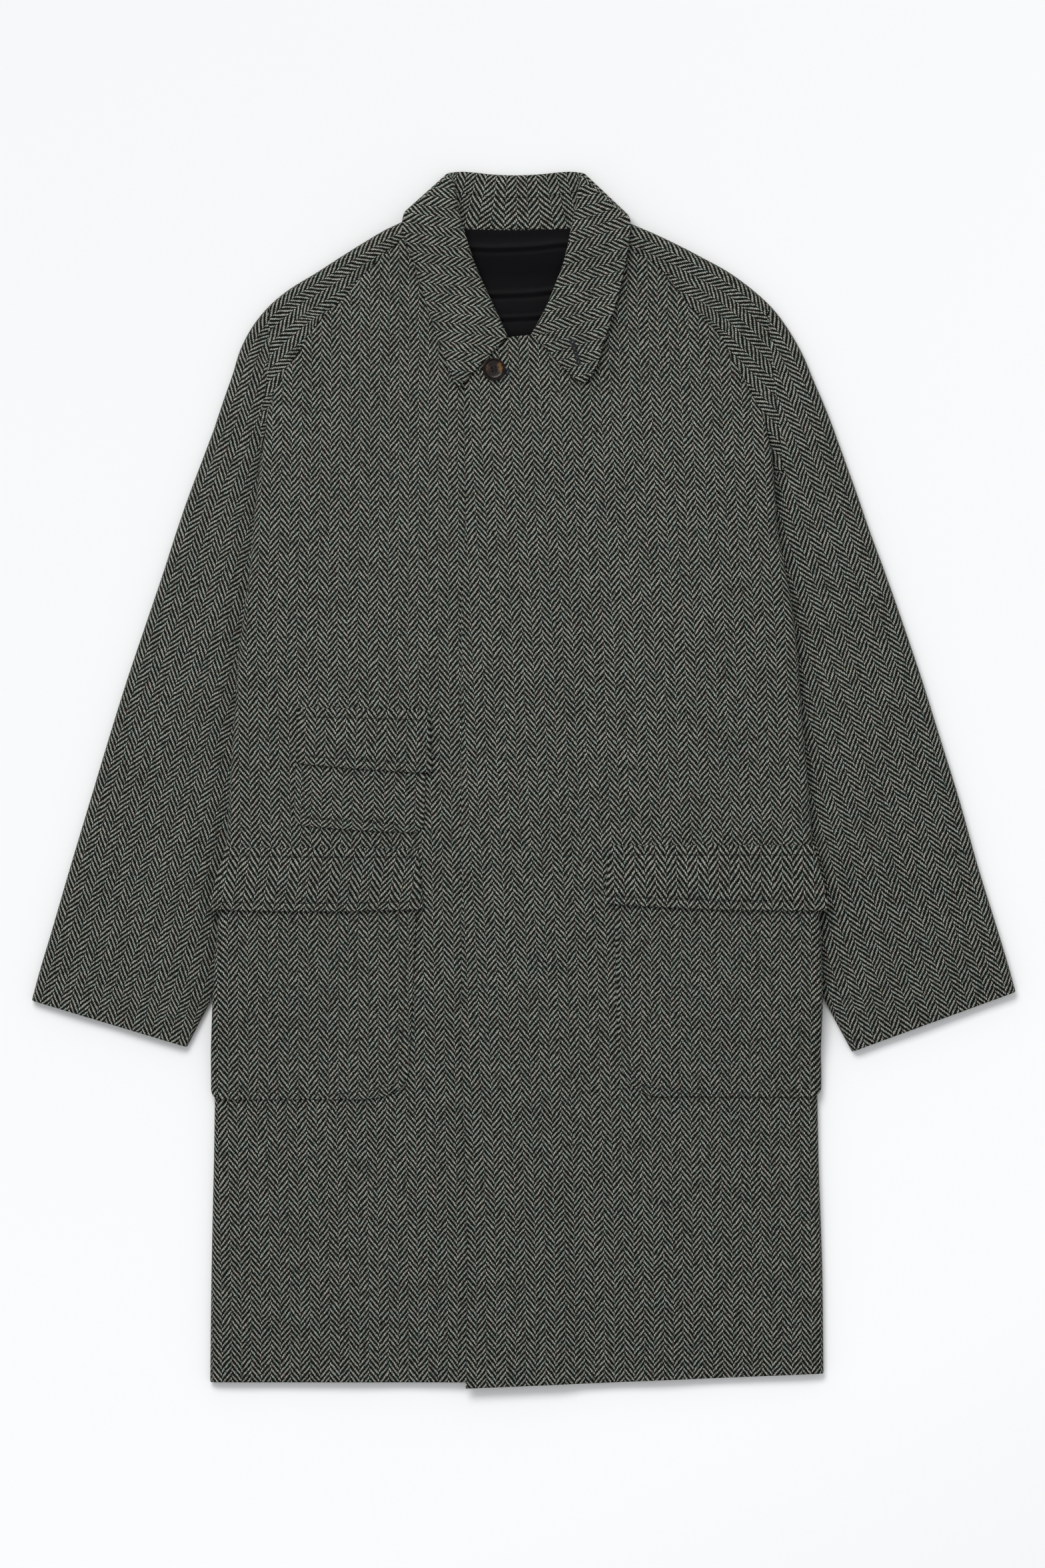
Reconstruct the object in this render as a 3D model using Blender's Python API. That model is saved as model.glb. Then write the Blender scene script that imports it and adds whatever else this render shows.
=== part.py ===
"""Balmacaan coat in herringbone tweed, laid flat on its back with the collar up the page.

Metres in the finished model, millimetres while it is worked out. X runs across the coat, Y up to
its collar and Z up from the surface that it lies on. The origin is the middle of its footprint.
Left and right are the wearer's, so the left front is at +X and laps over the right one.

The outline tables hold places in the photograph, which looks straight down and is 1568 x 2352
pixels, and MM_PER_PIXEL turns them into real lengths. Each row of a table is one line across a
piece of cloth, and a piece is a wall built through its rows.
"""

import math

import bmesh
import bpy
import numpy as np
from mathutils import Vector
from mathutils.bvhtree import BVHTree

MM = 0.001
MM_PER_PIXEL = 0.62
MIDDLE_X = 785.8
MIDDLE_Y = 1170.0

# Cloth, in millimetres
WALL = 2.6
COLLAR_WALL = 3.0
POCKET_WALL = 2.0
LINING_WALL = 1.0
SEAM = 0.3
REST_GAP = 0.35
STACK = 8.8
HALF_STACK = STACK / 2
EDGE_ROUND = 6.0
LAP_RISE = WALL + SEAM

# How finely each piece follows its shape, in steps across a row
BACK_STEPS = 14
FRONT_STEPS = 12
SLEEVE_STEPS = 5
POCKET_STEPS = 7
PATCH_STEPS = 8
LINING_STEPS = 8
REST_SAMPLES = 11
BUTTON_SIDES = 24

# How far the cloth is lifted by what lies under it, in millimetres
SLEEVE_LIFT = STACK + 2 * SEAM
SLEEVE_RAMP = 120.0
SLEEVE_MARGIN = 12.0
COLLAR_LIFT = COLLAR_WALL + SEAM
ROLL_RISE = 4.0
ROLL_GAP = 0.5

# Where that lifting starts and ends, up the page
ARMPIT_FLAT_Y = 640
ARMPIT_LIFTED_Y = 790
CUFF_LIFTED_Y = 1490
CUFF_FLAT_Y = 1640
COLLAR_UNDER_Y = 366
COLLAR_CLEAR_Y = 420
LAP_START_X = 670
LAP_RAISED_X = 690
LAP_LEVEL_X = 872
LAP_END_X = 960
LAP_FLAT_Y = 445
LAP_RAISED_Y = 500
RIGHT_FRONT_EDGE_X = 820
HEM_UNDER_LAP_Y = 2079

# The soft fold of each sleeve beside the armhole
FOLD_DEPTH = 2.0
FOLD_WIDTH = 9.0
FOLD_FADE = 25.0

BUTTON_X, BUTTON_Y = 741.6, 554.4
BUTTON_RADIUS = 10.0
BUTTON_THICKNESS = 3.6
BUTTON_HOLE_RADIUS = 1.1
BUTTON_HOLE_SPREAD = 2.1

ROUND_ANGLES = (45, 90)
ROLL_ANGLES = (60, 120, 180)
ABOVE_ALL = 200.0
UP = np.array((0.0, 0.0, 1.0))


def table(columns, *rows):
    """The columns of a table by name."""
    return dict(zip(columns.split(), np.array(rows, float).T))


# Body from the hem to the armpit: its two side edges and the left front's own edge
BODY = table(
    "right_x right_y left_x left_y lap_x lap_y",
    (315, 2074, 1236, 2061, 699, 2083),
    (317, 1904, 1234, 1900, 701, 1900),
    (321, 1713, 1228, 1713, 697, 1713),
    (322, 1640, 1227, 1640, 695, 1640),
    (322, 1608, 1227, 1608, 694, 1608),
    (322, 1577, 1226, 1577, 693, 1577),
    (323, 1548, 1227, 1548, 692, 1548),
    (324, 1520, 1228, 1520, 692, 1520),
    (325, 1493, 1229, 1493, 692, 1493),
    (331, 1400, 1226, 1400, 692, 1400),
    (336, 1320, 1223, 1320, 692, 1320),
    (341, 1250, 1218, 1250, 692, 1250),
    (347, 1150, 1210, 1150, 692, 1150),
    (353, 1060, 1202, 1060, 692, 1060),
    (357, 1000, 1198, 1000, 692, 1000),
    (364, 934, 1192, 938, 692, 934),
    (370, 890, 1185, 890, 693, 890),
    (376, 845, 1176, 845, 695, 845),
    (380, 795, 1167, 795, 698, 795),
    (385, 745, 1163, 745, 699, 745),
    (390, 700, 1160, 700, 698, 700),
)

# Each sleeve from the cuff to the armpit: the fold over the arm and the one under it
RIGHT_SLEEVE = table(
    "over_x over_y under_x under_y",
    (47, 1501, 280, 1571),
    (58, 1460, 299, 1534),
    (75, 1403, 327, 1480),
    (105, 1300, 379, 1378),
    (135, 1200, 428, 1280),
    (165, 1100, 465, 1180),
    (190, 1020, 476, 1100),
    (217, 940, 468, 1020),
    (244, 860, 440, 935),
    (265, 795, 400, 862),
    (284, 740, 384, 800),
    (303, 690, 387, 745),
)
LEFT_SLEEVE = table(
    "over_x over_y under_x under_y",
    (1524.6, 1488, 1279, 1578),
    (1512, 1443, 1252, 1528),
    (1499, 1400, 1232, 1490),
    (1468, 1300, 1182, 1395),
    (1440, 1200, 1133, 1300),
    (1409, 1100, 1092, 1203),
    (1384, 1020, 1079, 1118),
    (1357, 940, 1086, 1030),
    (1329, 860, 1112, 940),
    (1305, 795, 1150, 865),
    (1286, 740, 1163, 800),
    (1268, 690, 1161, 745),
)

# From the armpit to the neck: the fold over the shoulder, the raglan seam and the front's inner
# edge, which becomes the neck seam
RIGHT_SHOULDER = table(
    "over_x over_y seam_x seam_y inner_x inner_y",
    (320, 645, 390, 700, 820, 700),
    (335, 600, 398, 648, 820, 650),
    (349, 560, 405, 606, 820, 606),
    (361, 522, 414, 581, 820, 565),
    (378, 490, 429, 554, 815, 530),
    (402, 460, 445, 532, 790, 512),
    (433, 434, 464, 502, 752, 503),
    (472, 410, 488, 471, 735, 482),
    (508, 387, 516, 447, 720, 456),
    (545, 364, 547, 409, 704, 424),
    (577, 345, 578, 381, 690, 392),
    (606, 331, 604, 358, 681, 364),
    (626, 317, 622, 342, 674, 345),
    (641, 305, 638, 328, 665, 328),
    (654, 296, 652, 315, 657, 317),
)
LEFT_SHOULDER = table(
    "over_x over_y seam_x seam_y inner_x inner_y",
    (1250, 640, 1160, 700, 698, 700),
    (1237, 607, 1155, 668, 697, 650),
    (1221, 570, 1145, 625, 696, 606),
    (1204, 530, 1129, 592, 698, 572),
    (1186, 498, 1113, 562, 703, 545),
    (1163, 466, 1098, 536, 722, 520),
    (1133, 437, 1082, 504, 765, 506),
    (1094, 408, 1058, 481, 800, 501),
    (1052, 385, 1030, 453, 828, 484),
    (1015, 366, 1006, 420, 847, 452),
    (979, 349, 977, 391, 862, 412),
    (942, 333, 944, 374, 873, 376),
    (918, 317, 908, 345, 881, 354),
    (905, 308, 899, 338, 886, 343),
    (894, 300, 891, 331, 888, 334),
)
BACK_NECK_ROW = 12

# How round the side edge is from the armpit up, before it becomes a flat seam, and how far a
# patch pocket follows it round
ARMPIT_ROUNDNESS = (0.85, 0.4, 0.1)
POCKET_ROUNDNESS = 0.85

# Collar from the tip of a leaf to the middle of the back: the roll line, the outer edge, the neck
# seam, how far the cloth has turned over to lie under the coat, and how deep it runs inside
RIGHT_COLLAR = table(
    "roll_x roll_y edge_x edge_y neck_x neck_y turn inside",
    (762, 505, 686, 584, 755, 501, 0, 4),
    (751, 480, 674, 553, 738, 481, 0, 4),
    (739, 454, 662, 523, 723, 455, 0, 5),
    (725, 424, 650, 488, 707, 423, 0, 5),
    (713, 396, 639, 454, 693, 391, 0, 5),
    (703, 366, 628, 418, 684, 363, 0, 5),
    (695, 340, 617, 386, 677, 344, 0, 6),
    (688, 312, 608, 360, 668, 327, 0, 8),
    (683, 286, 603, 336, 662, 316, 20, 12),
    (678, 266, 604, 325, 659, 308, 50, 16),
    (674, 257, 606, 318, 659, 303, 90, 19),
    (677, 256, 610, 322, 662, 309, 130, 22),
    (683, 256, 618, 329, 668, 320, 165, 25),
    (695, 256.5, 640, 341, 676, 332, 180, 27),
    (713, 258, 678, 352, 692, 342, 180, 28),
    (742, 261, 726, 358, 730, 342.5, 180, 28),
    (772, 262, 772, 359, 772, 343, 180, 28),
)
LEFT_COLLAR = table(
    "roll_x roll_y edge_x edge_y neck_x neck_y turn inside",
    (797, 501, 873, 580, 804, 496.5, 0, 3),
    (806, 486, 890, 560, 814, 489, 0, 4),
    (822, 454, 905, 518, 843, 453, 0, 5),
    (834, 424, 917, 480, 855, 424, 0, 5),
    (845, 394, 928, 443, 865, 394, 0, 5),
    (852, 366, 936, 408, 874, 366, 0, 5),
    (857, 340, 942, 376, 882, 343, 0, 6),
    (863, 312, 945, 352, 884, 329, 0, 8),
    (868, 286, 946, 338, 886, 318, 20, 12),
    (872, 266, 946, 329, 887, 309, 50, 16),
    (874, 257, 943, 322, 887, 304, 90, 19),
    (871, 256, 939, 326, 884, 310, 130, 22),
    (865, 256, 931, 333, 878, 321, 165, 25),
    (852, 256.5, 908, 345, 870, 333, 180, 27),
    (834, 258, 870, 354, 852, 343.5, 180, 28),
    (803, 261, 819, 358, 810, 343, 180, 28),
)

# Lining that shows in the neck: its two sides, which run on under the fronts
NECK_LINING = table(
    "right_x right_y left_x left_y",
    (664, 348, 880, 350),
    (672, 372, 874, 374),
    (684, 400, 866, 402),
    (696, 430, 856, 432),
    (710, 460, 844, 462),
    (724, 490, 832, 492),
    (734, 515, 822, 517),
    (742, 540, 814, 541),
)

# Patch pockets: the side nearer the coat's middle, from under the flap to the bottom
RIGHT_POCKET = table(
    "inner_x inner_y",
    (624, 1308),
    (624, 1375),
    (621, 1450),
    (618, 1521),
    (614, 1590),
    (613, 1613),
    (603, 1630),
    (577, 1644),
    (545, 1649),
)
LEFT_POCKET = table(
    "inner_x inner_y",
    (922, 1308),
    (923, 1375),
    (924, 1450),
    (926, 1521),
    (929, 1577),
    (934, 1605),
    (945, 1625),
    (963, 1639),
    (985, 1645),
)

# Four-cornered patches: top right, top left, bottom right and bottom left corners by the wearer's
# sides, and how round the two bottom ones are
PATCHES = {
    "flap_right": dict(top=((340, 1271), (627, 1273)), bottom=((309, 1364), (636, 1364)),
                       corner=7.5, sag=3.0),
    "flap_left": dict(top=((914, 1268), (1221, 1267)), bottom=((907, 1356), (1245, 1366)),
                      corner=8.5, sag=3.0),
    "ticket_flap": dict(top=((447, 1061), (646, 1065)), bottom=((444, 1145), (648, 1160)),
                        corner=5.0, sag=1.5),
    "ticket_pocket": dict(top=((447, 1100), (640, 1102)), bottom=((441, 1238), (636, 1250)),
                          corner=11.0, sag=1.5),
}


def across(x):
    """A place across the photograph as millimetres from the middle."""
    return (np.asarray(x, float) - MIDDLE_X) * MM_PER_PIXEL


def up(y):
    """A place down the photograph as millimetres above the middle."""
    return (MIDDLE_Y - np.asarray(y, float)) * MM_PER_PIXEL


def ease(amount):
    """A soft step from 0 to 1."""
    amount = np.clip(amount, 0.0, 1.0)
    return amount * amount * (3.0 - 2.0 * amount)


def points(columns, name):
    """The places that a table gives under one name, one row each."""
    return np.stack([across(columns[name + "_x"]), up(columns[name + "_y"])], axis=1)


def sleeve_lift(x, y):
    """How high the body lies over the parts of the sleeves that are tucked under it."""
    y_rise = ease((y - up(ARMPIT_FLAT_Y)) / (up(ARMPIT_LIFTED_Y) - up(ARMPIT_FLAT_Y)))
    y_fall = ease((y - up(CUFF_FLAT_Y)) / (up(CUFF_LIFTED_Y) - up(CUFF_FLAT_Y)))
    lifted = 0.0
    for sleeve, outward in ((RIGHT_SLEEVE, -1.0), (LEFT_SLEEVE, 1.0)):
        under = points(sleeve, "under")
        under_x = np.interp(y, under[:, 1], under[:, 0])
        past = (under_x - x) * outward - SLEEVE_MARGIN
        lifted = np.maximum(lifted, 1.0 - ease(past / SLEEVE_RAMP))
    return SLEEVE_LIFT * lifted * y_rise * y_fall


def collar_lift(y):
    """How high the cloth lies over the back of the collar."""
    return COLLAR_LIFT * ease((y - up(COLLAR_CLEAR_Y)) / (up(COLLAR_UNDER_Y) - up(COLLAR_CLEAR_Y)))


def sleeve_base(_, y):
    """The height of the underside of the sleeves."""
    return collar_lift(y)


def lap_rise(x, y):
    """How much higher the left front lies where it laps over the right one."""
    start = ease((x - across(LAP_START_X)) / (across(LAP_RAISED_X) - across(LAP_START_X)))
    end = ease((across(LAP_END_X) - x) / (across(LAP_END_X) - across(LAP_LEVEL_X)))
    below_neck = ease((up(LAP_FLAT_Y) - y) / (up(LAP_FLAT_Y) - up(LAP_RAISED_Y)))
    return LAP_RISE * start * end * below_neck


def body_base(x, y):
    """The height of the underside of the body."""
    return sleeve_lift(x, y) + collar_lift(y)


def coat_top(x, y):
    """The height of the top of the coat's fronts."""
    return body_base(x, y) + STACK + lap_rise(x, y)


def armhole_fold(fold):
    """The trough that a sleeve's soft fold makes, as a height to add."""
    fold_x = across([row[0] for row in fold])
    fold_y = up([row[1] for row in fold])

    def trough(x, y):
        line_x = np.interp(y, fold_y[::-1], fold_x[::-1])
        reach = ease((y - fold_y[-1]) / FOLD_FADE) * ease((fold_y[0] - y) / FOLD_FADE)
        return -FOLD_DEPTH * reach * np.exp(-((x - line_x) / FOLD_WIDTH) ** 2)

    return trough


RIGHT_FOLD = ((402, 460), (404, 508), (401, 560), (392, 620))
LEFT_FOLD = ((1151, 450), (1155, 500), (1163, 579), (1172, 650))


def row_stations(length, flat_count, round_start, round_end):
    """How far along a row each of its points lies, its angle round an edge, and which end."""
    radius = min(EDGE_ROUND, 0.4 * length)
    start = radius if round_start else 0.0
    end = length - radius if round_end else length
    stations = []
    if round_start:
        for angle in reversed(ROUND_ANGLES):
            stations.append((radius * (1 - math.sin(math.radians(angle))), math.radians(angle), -1))
    for step in range(flat_count + 1):
        stations.append((start + (end - start) * step / flat_count, 0.0, 0))
    if round_end:
        for angle in ROUND_ANGLES:
            reach = length - radius * (1 - math.sin(math.radians(angle)))
            stations.append((reach, math.radians(angle), 1))
    return stations


def cloth_rows(starts, ends, side, base, flat_count, start_round=None, end_round=None, extra=None):
    """Outer points of a cloth layer and the way that its surface faces, row by row.

    The side is 1 for a layer on top and -1 for one underneath. A round edge falls to the middle
    of the stack, as far as its roundness says, from 0 for a flat seam to 1 for a folded edge.
    """
    outer = []
    facing = []
    for row, (start, end) in enumerate(zip(starts, ends)):
        length = float(np.linalg.norm(end - start))
        along = (end - start) / length
        outer_row = []
        facing_row = []
        for reach, angle, which in row_stations(length, flat_count, start_round is not None,
                                                end_round is not None):
            roundness = 0.0
            if which:
                roundness = (start_round if which < 0 else end_round)[row]
            x, y = start + along * reach
            crest = HALF_STACK + (extra(x, y) if extra else 0.0)
            fall = 1.0 - roundness * (1.0 - math.cos(angle))
            height = base(x, y) + HALF_STACK + side * (SEAM / 2 + (crest - SEAM / 2) * fall)
            outer_row.append((x, y, height))
            lean = angle * roundness
            outward = along * which * math.sin(lean)
            facing_row.append((outward[0], outward[1], side * math.cos(lean)))
        outer.append(outer_row)
        facing.append(facing_row)
    return np.array(outer), np.array(facing)


def closed_wall(name, outer, inner, material):
    """One closed solid between two grids of points."""
    rows, columns = outer.shape[:2]
    mesh = bmesh.new()
    layers = []
    for grid in (outer, inner):
        layers.append([[mesh.verts.new(point * MM) for point in row] for row in grid])
    for layer in layers:
        for row in range(rows - 1):
            for column in range(columns - 1):
                first, second = layer[row][column], layer[row][column + 1]
                third, fourth = layer[row + 1][column + 1], layer[row + 1][column]
                mesh.faces.new((first, second, third))
                mesh.faces.new((first, third, fourth))
    rim = [(0, column) for column in range(columns)]
    rim += [(row, columns - 1) for row in range(1, rows)]
    rim += [(rows - 1, column) for column in range(columns - 2, -1, -1)]
    rim += [(row, 0) for row in range(rows - 2, 0, -1)]
    for here, there in zip(rim, rim[1:] + rim[:1]):
        mesh.faces.new((layers[0][here[0]][here[1]], layers[0][there[0]][there[1]],
                        layers[1][there[0]][there[1]], layers[1][here[0]][here[1]]))
    bmesh.ops.recalc_face_normals(mesh, faces=mesh.faces)
    return add_object(name, mesh, material)


def add_object(name, mesh, material):
    """A named object in the scene that holds a finished mesh."""
    data = bpy.data.meshes.new(name)
    mesh.to_mesh(data)
    mesh.free()
    data.materials.append(material)
    made = bpy.data.objects.new(name, data)
    bpy.context.collection.objects.link(made)
    data.shade_smooth()
    data.set_sharp_from_angle(angle=math.radians(40))
    return made


def make_material(name, colour, roughness, metallic=0.0):
    """A plain finish."""
    made = bpy.data.materials.new(name)
    made.use_nodes = True
    shader = made.node_tree.nodes["Principled BSDF"]
    shader.inputs["Base Color"].default_value = (*colour, 1.0)
    shader.inputs["Roughness"].default_value = roughness
    shader.inputs["Metallic"].default_value = metallic
    return made


def layer_of_cloth(name, rows, material):
    """A wall of cloth behind its outer points, and its outer surface to lay other cloth on."""
    outer, facing = rows
    closed_wall(name, outer, outer - facing * WALL, material)
    return surface_of(outer)


def surface_of(grid):
    """The surface through a grid of points."""
    rows, columns = grid.shape[:2]
    faces = []
    for row in range(rows - 1):
        for column in range(columns - 1):
            corner = row * columns + column
            faces.append((corner, corner + 1, corner + columns + 1))
            faces.append((corner, corner + columns + 1, corner + columns))
    return BVHTree.FromPolygons([Vector(point) for point in grid.reshape(-1, 3)], faces)


def height_of(surfaces, x, y):
    """The height of the highest of some surfaces at a place, or none where they all end."""
    highest = None
    for surface in surfaces:
        hit = surface.ray_cast(Vector((x, y, ABOVE_ALL)), Vector((0.0, 0.0, -1.0)))[0]
        if hit is not None and (highest is None or hit.z > highest):
            highest = hit.z
    return highest


def rest_on(inner, surfaces, columns=None):
    """How far each point of a cloth's underside has to rise to lie a seam above what is below."""
    raised = np.zeros(inner.shape[:2])
    shares = np.linspace(0.0, 1.0, REST_SAMPLES)
    for row in range(inner.shape[0] - 1):
        for column in range((columns or inner.shape[1]) - 1):
            needed = 0.0
            first, second = inner[row, column], inner[row, column + 1]
            third, fourth = inner[row + 1, column + 1], inner[row + 1, column]
            for down in shares:
                for along in shares:
                    if along >= down:
                        x, y, z = first + (second - first) * along + (third - second) * down
                    else:
                        x, y, z = first + (fourth - first) * down + (third - fourth) * along
                    below = height_of(surfaces, x, y)
                    if below is not None:
                        needed = max(needed, below + REST_GAP - z)
            cell = (slice(row, row + 2), slice(column, column + 2))
            raised[cell] = np.maximum(raised[cell], needed)
    return raised[:, :, None] * UP


def beside_seam(line, toward):
    """A seam line moved half a seam toward one of the pieces that meet there."""
    along = np.gradient(line, axis=0)
    across_seam = np.stack([-along[:, 1], along[:, 0]], axis=1)
    across_seam /= np.linalg.norm(across_seam, axis=1)[:, None]
    turned = np.sign(np.sum(across_seam * (toward - line), axis=1))
    return line + across_seam * turned[:, None] * SEAM / 2


def side_roundness(count_below, count_above):
    """Full roundness up to the armpit, then less and less until the edge is a flat seam."""
    above = list(ARMPIT_ROUNDNESS) + [0.0] * (count_above - len(ARMPIT_ROUNDNESS))
    return [1.0] * count_below + above


def body_side(name, shoulder):
    """One side edge of the body with the raglan seam above it, a half seam clear of the sleeve."""
    seam = points(shoulder, "seam")
    beside = beside_seam(seam, points(shoulder, "inner"))
    below = points(BODY, name)[:-1]
    return np.concatenate([below, beside])


def make_back(material):
    """The back, whole, from one side to the other."""
    right = body_side("right", RIGHT_SHOULDER)
    left = body_side("left", LEFT_SHOULDER)
    below = len(BODY["right_x"]) - 1
    count = below + BACK_NECK_ROW + 1
    roundness = side_roundness(below, len(RIGHT_SHOULDER["seam_x"]))[:count]
    rows = cloth_rows(right[:count], left[:count], -1, body_base, BACK_STEPS, roundness,
                      roundness)
    return layer_of_cloth("back", rows, material)


def front_rows(side_name, shoulder, inner_below, extra):
    """The rows of a front, from its own edge at the middle to its side."""
    side = body_side(side_name, shoulder)
    inner = np.concatenate([inner_below, points(shoulder, "inner")])
    roundness = side_roundness(len(inner_below), len(shoulder["seam_x"]))
    return cloth_rows(inner, side, 1, body_base, FRONT_STEPS, None, roundness, extra)


def make_fronts(material):
    """The right front, and the left front that laps over it."""
    right_edge = points(BODY, "right")[:-1].copy()
    right_edge[:, 0] = across(RIGHT_FRONT_EDGE_X)
    right_edge[0, 1] = up(HEM_UNDER_LAP_Y)
    right_rows = front_rows("right", RIGHT_SHOULDER, right_edge, None)
    right = layer_of_cloth("front_right", right_rows, material)
    left_edge = points(BODY, "lap")[:-1]
    outer, facing = front_rows("left", LEFT_SHOULDER, left_edge, lap_rise)
    outer = outer + rest_on(outer - facing * WALL, [right])
    left = layer_of_cloth("front_left", (outer, facing), material)
    return right, left


def make_sleeve(name, sleeve, shoulder, fold, material):
    """The front and back halves of a sleeve, which meet over and under the arm."""
    seam = beside_seam(points(shoulder, "seam"), points(shoulder, "over"))
    under = np.concatenate([points(sleeve, "under"), seam])
    over = np.concatenate([points(sleeve, "over"), points(shoulder, "over")])
    below = len(sleeve["over_x"])
    inside = side_roundness(below, len(shoulder["seam_x"]))
    outside = [1.0] * len(over)
    trough = armhole_fold(fold)
    top = cloth_rows(under, over, 1, sleeve_base, SLEEVE_STEPS, inside, outside, trough)
    bottom = cloth_rows(under, over, -1, sleeve_base, SLEEVE_STEPS, inside, outside)
    layer_of_cloth(name + "_back", bottom, material)
    return layer_of_cloth(name + "_front", top, material)


def collar_frames():
    """Where the collar rolls and ends at each station, and which way it faces there."""
    frames = []
    count = len(RIGHT_COLLAR["turn"])
    stations = [(RIGHT_COLLAR, row, -1.0) for row in range(count)]
    stations += [(LEFT_COLLAR, row, 1.0) for row in reversed(range(count - 1))]
    for columns, row, outward in stations:
        roll, edge, neck = (points(columns, name)[row] for name in ("roll", "edge", "neck"))
        turn = math.radians(columns["turn"][row])
        down = (edge - roll) / np.linalg.norm(edge - roll)
        sideways = np.array((-down[1], down[0])) * outward
        facing = np.array((*(sideways * math.sin(turn)), math.cos(turn)))
        edge = edge - facing[:2] * COLLAR_WALL
        roll = roll - facing[:2] * COLLAR_WALL + down * (COLLAR_WALL + ROLL_GAP)
        frames.append(dict(roll=roll, edge=edge, neck=neck, down=np.array((*down, 0.0)),
                           facing=facing, turn=turn,
                           inside=columns["inside"][row] * MM_PER_PIXEL))
    return frames


def collar_height(frame, x, y, rise):
    """The height of the side of the collar that faces the coat."""
    middle = COLLAR_LIFT + HALF_STACK
    reach = HALF_STACK + SEAM
    turned = middle + (reach + rise * max(math.cos(frame["turn"]), 0.0)) * math.cos(frame["turn"])
    if frame["turn"] > 0.0:
        return turned
    return coat_top(x, y) + SEAM + rise


def roll_point(frame):
    """The point at the roll line on the side that faces the coat."""
    x, y = frame["roll"]
    return np.array((x, y, collar_height(frame, x, y, ROLL_RISE)))


def inside_point(frame, distance):
    """A point on the inside of the collar, so far down from the roll."""
    start = roll_point(frame) - frame["facing"] * 2 * ROLL_GAP
    toward = frame["neck"] - frame["roll"]
    toward = toward / np.linalg.norm(toward)
    return start + np.array((*toward, 0.0)) * distance


def make_collar_fall(frames, below, material):
    """The collar that folds down over the coat, all round the neck, as far as its inner seam."""
    shares = (0.0, 0.3, 0.6, 0.85, 1.0)
    inner = []
    outward = []
    for frame in frames:
        inner_row = []
        outward_row = []
        for share in shares:
            x, y = frame["edge"] + (frame["roll"] - frame["edge"]) * share
            inner_row.append((x, y, collar_height(frame, x, y, ROLL_RISE * share * share)))
            outward_row.append(frame["facing"])
        roll = roll_point(frame)
        for angle in ROLL_ANGLES:
            turn = math.radians(angle)
            inner_row.append(roll - frame["down"] * ROLL_GAP * math.sin(turn)
                             - frame["facing"] * ROLL_GAP * (1 - math.cos(turn)))
            outward_row.append(frame["facing"] * math.cos(turn) - frame["down"] * math.sin(turn))
        inner_row.append(inside_point(frame, frame["inside"]))
        outward_row.append(-frame["facing"])
        inner.append(inner_row)
        outward.append(outward_row)
    inner = np.array(inner)
    raised = rest_on(inner, below, len(shares))
    raised[:, len(shares):] = raised[:, len(shares) - 1:len(shares)]
    for row, frame in enumerate(frames):
        raised[row] *= max(math.cos(frame["turn"]), 0.0)
    inner = inner + raised
    return closed_wall("collar_fall", inner + np.array(outward) * COLLAR_WALL, inner, material)


def make_collar_stand(frames, material):
    """The band between the neck seam and the collar's inner seam."""
    outer = []
    inner = []
    for frame in frames[1:-2]:
        start = inside_point(frame, frame["inside"] + 2 * SEAM) - frame["facing"] * 2 * SEAM
        x, y = frame["neck"]
        height = COLLAR_LIFT + HALF_STACK + HALF_STACK * math.cos(frame["turn"])
        if frame["turn"] == 0.0:
            height = coat_top(x, y)
        end = np.array((x, y, height))
        row = [start + (end - start) * share for share in (0.0, 0.5, 1.0)]
        outer.append(row)
        inner.append([point - frame["facing"] * WALL for point in row])
    return closed_wall("collar_stand", np.array(outer), np.array(inner), material)


def make_neck_lining(material):
    """The lining inside the back of the neck."""
    starts = points(NECK_LINING, "right")
    ends = points(NECK_LINING, "left")
    below = []
    for start, end in zip(starts, ends):
        row = []
        for share in np.linspace(0.0, 1.0, LINING_STEPS + 1):
            x, y = start + (end - start) * share
            row.append((x, y, body_base(x, y) + WALL + SEAM))
        below.append(row)
    below = np.array(below)
    return closed_wall("neck_lining", below + UP * LINING_WALL, below, material)


def make_patch_pocket(name, columns, side_name, front, material):
    """A patch pocket that runs round to the side seam."""
    inner = points(columns, "inner")
    side = points(BODY, side_name)
    order = np.argsort(side[:, 1])
    side_x = np.interp(inner[:, 1], side[order, 1], side[order, 0])
    ends = np.stack([side_x, inner[:, 1]], axis=1)
    below, facing = cloth_rows(inner, ends, 1, body_base, POCKET_STEPS, None,
                               [POCKET_ROUNDNESS] * len(inner), lap_rise)
    inside = below + facing * SEAM
    inside = inside + rest_on(inside, [front])
    closed_wall(name, inside + facing * POCKET_WALL, inside, material)
    return surface_of(inside + facing * POCKET_WALL)


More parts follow.
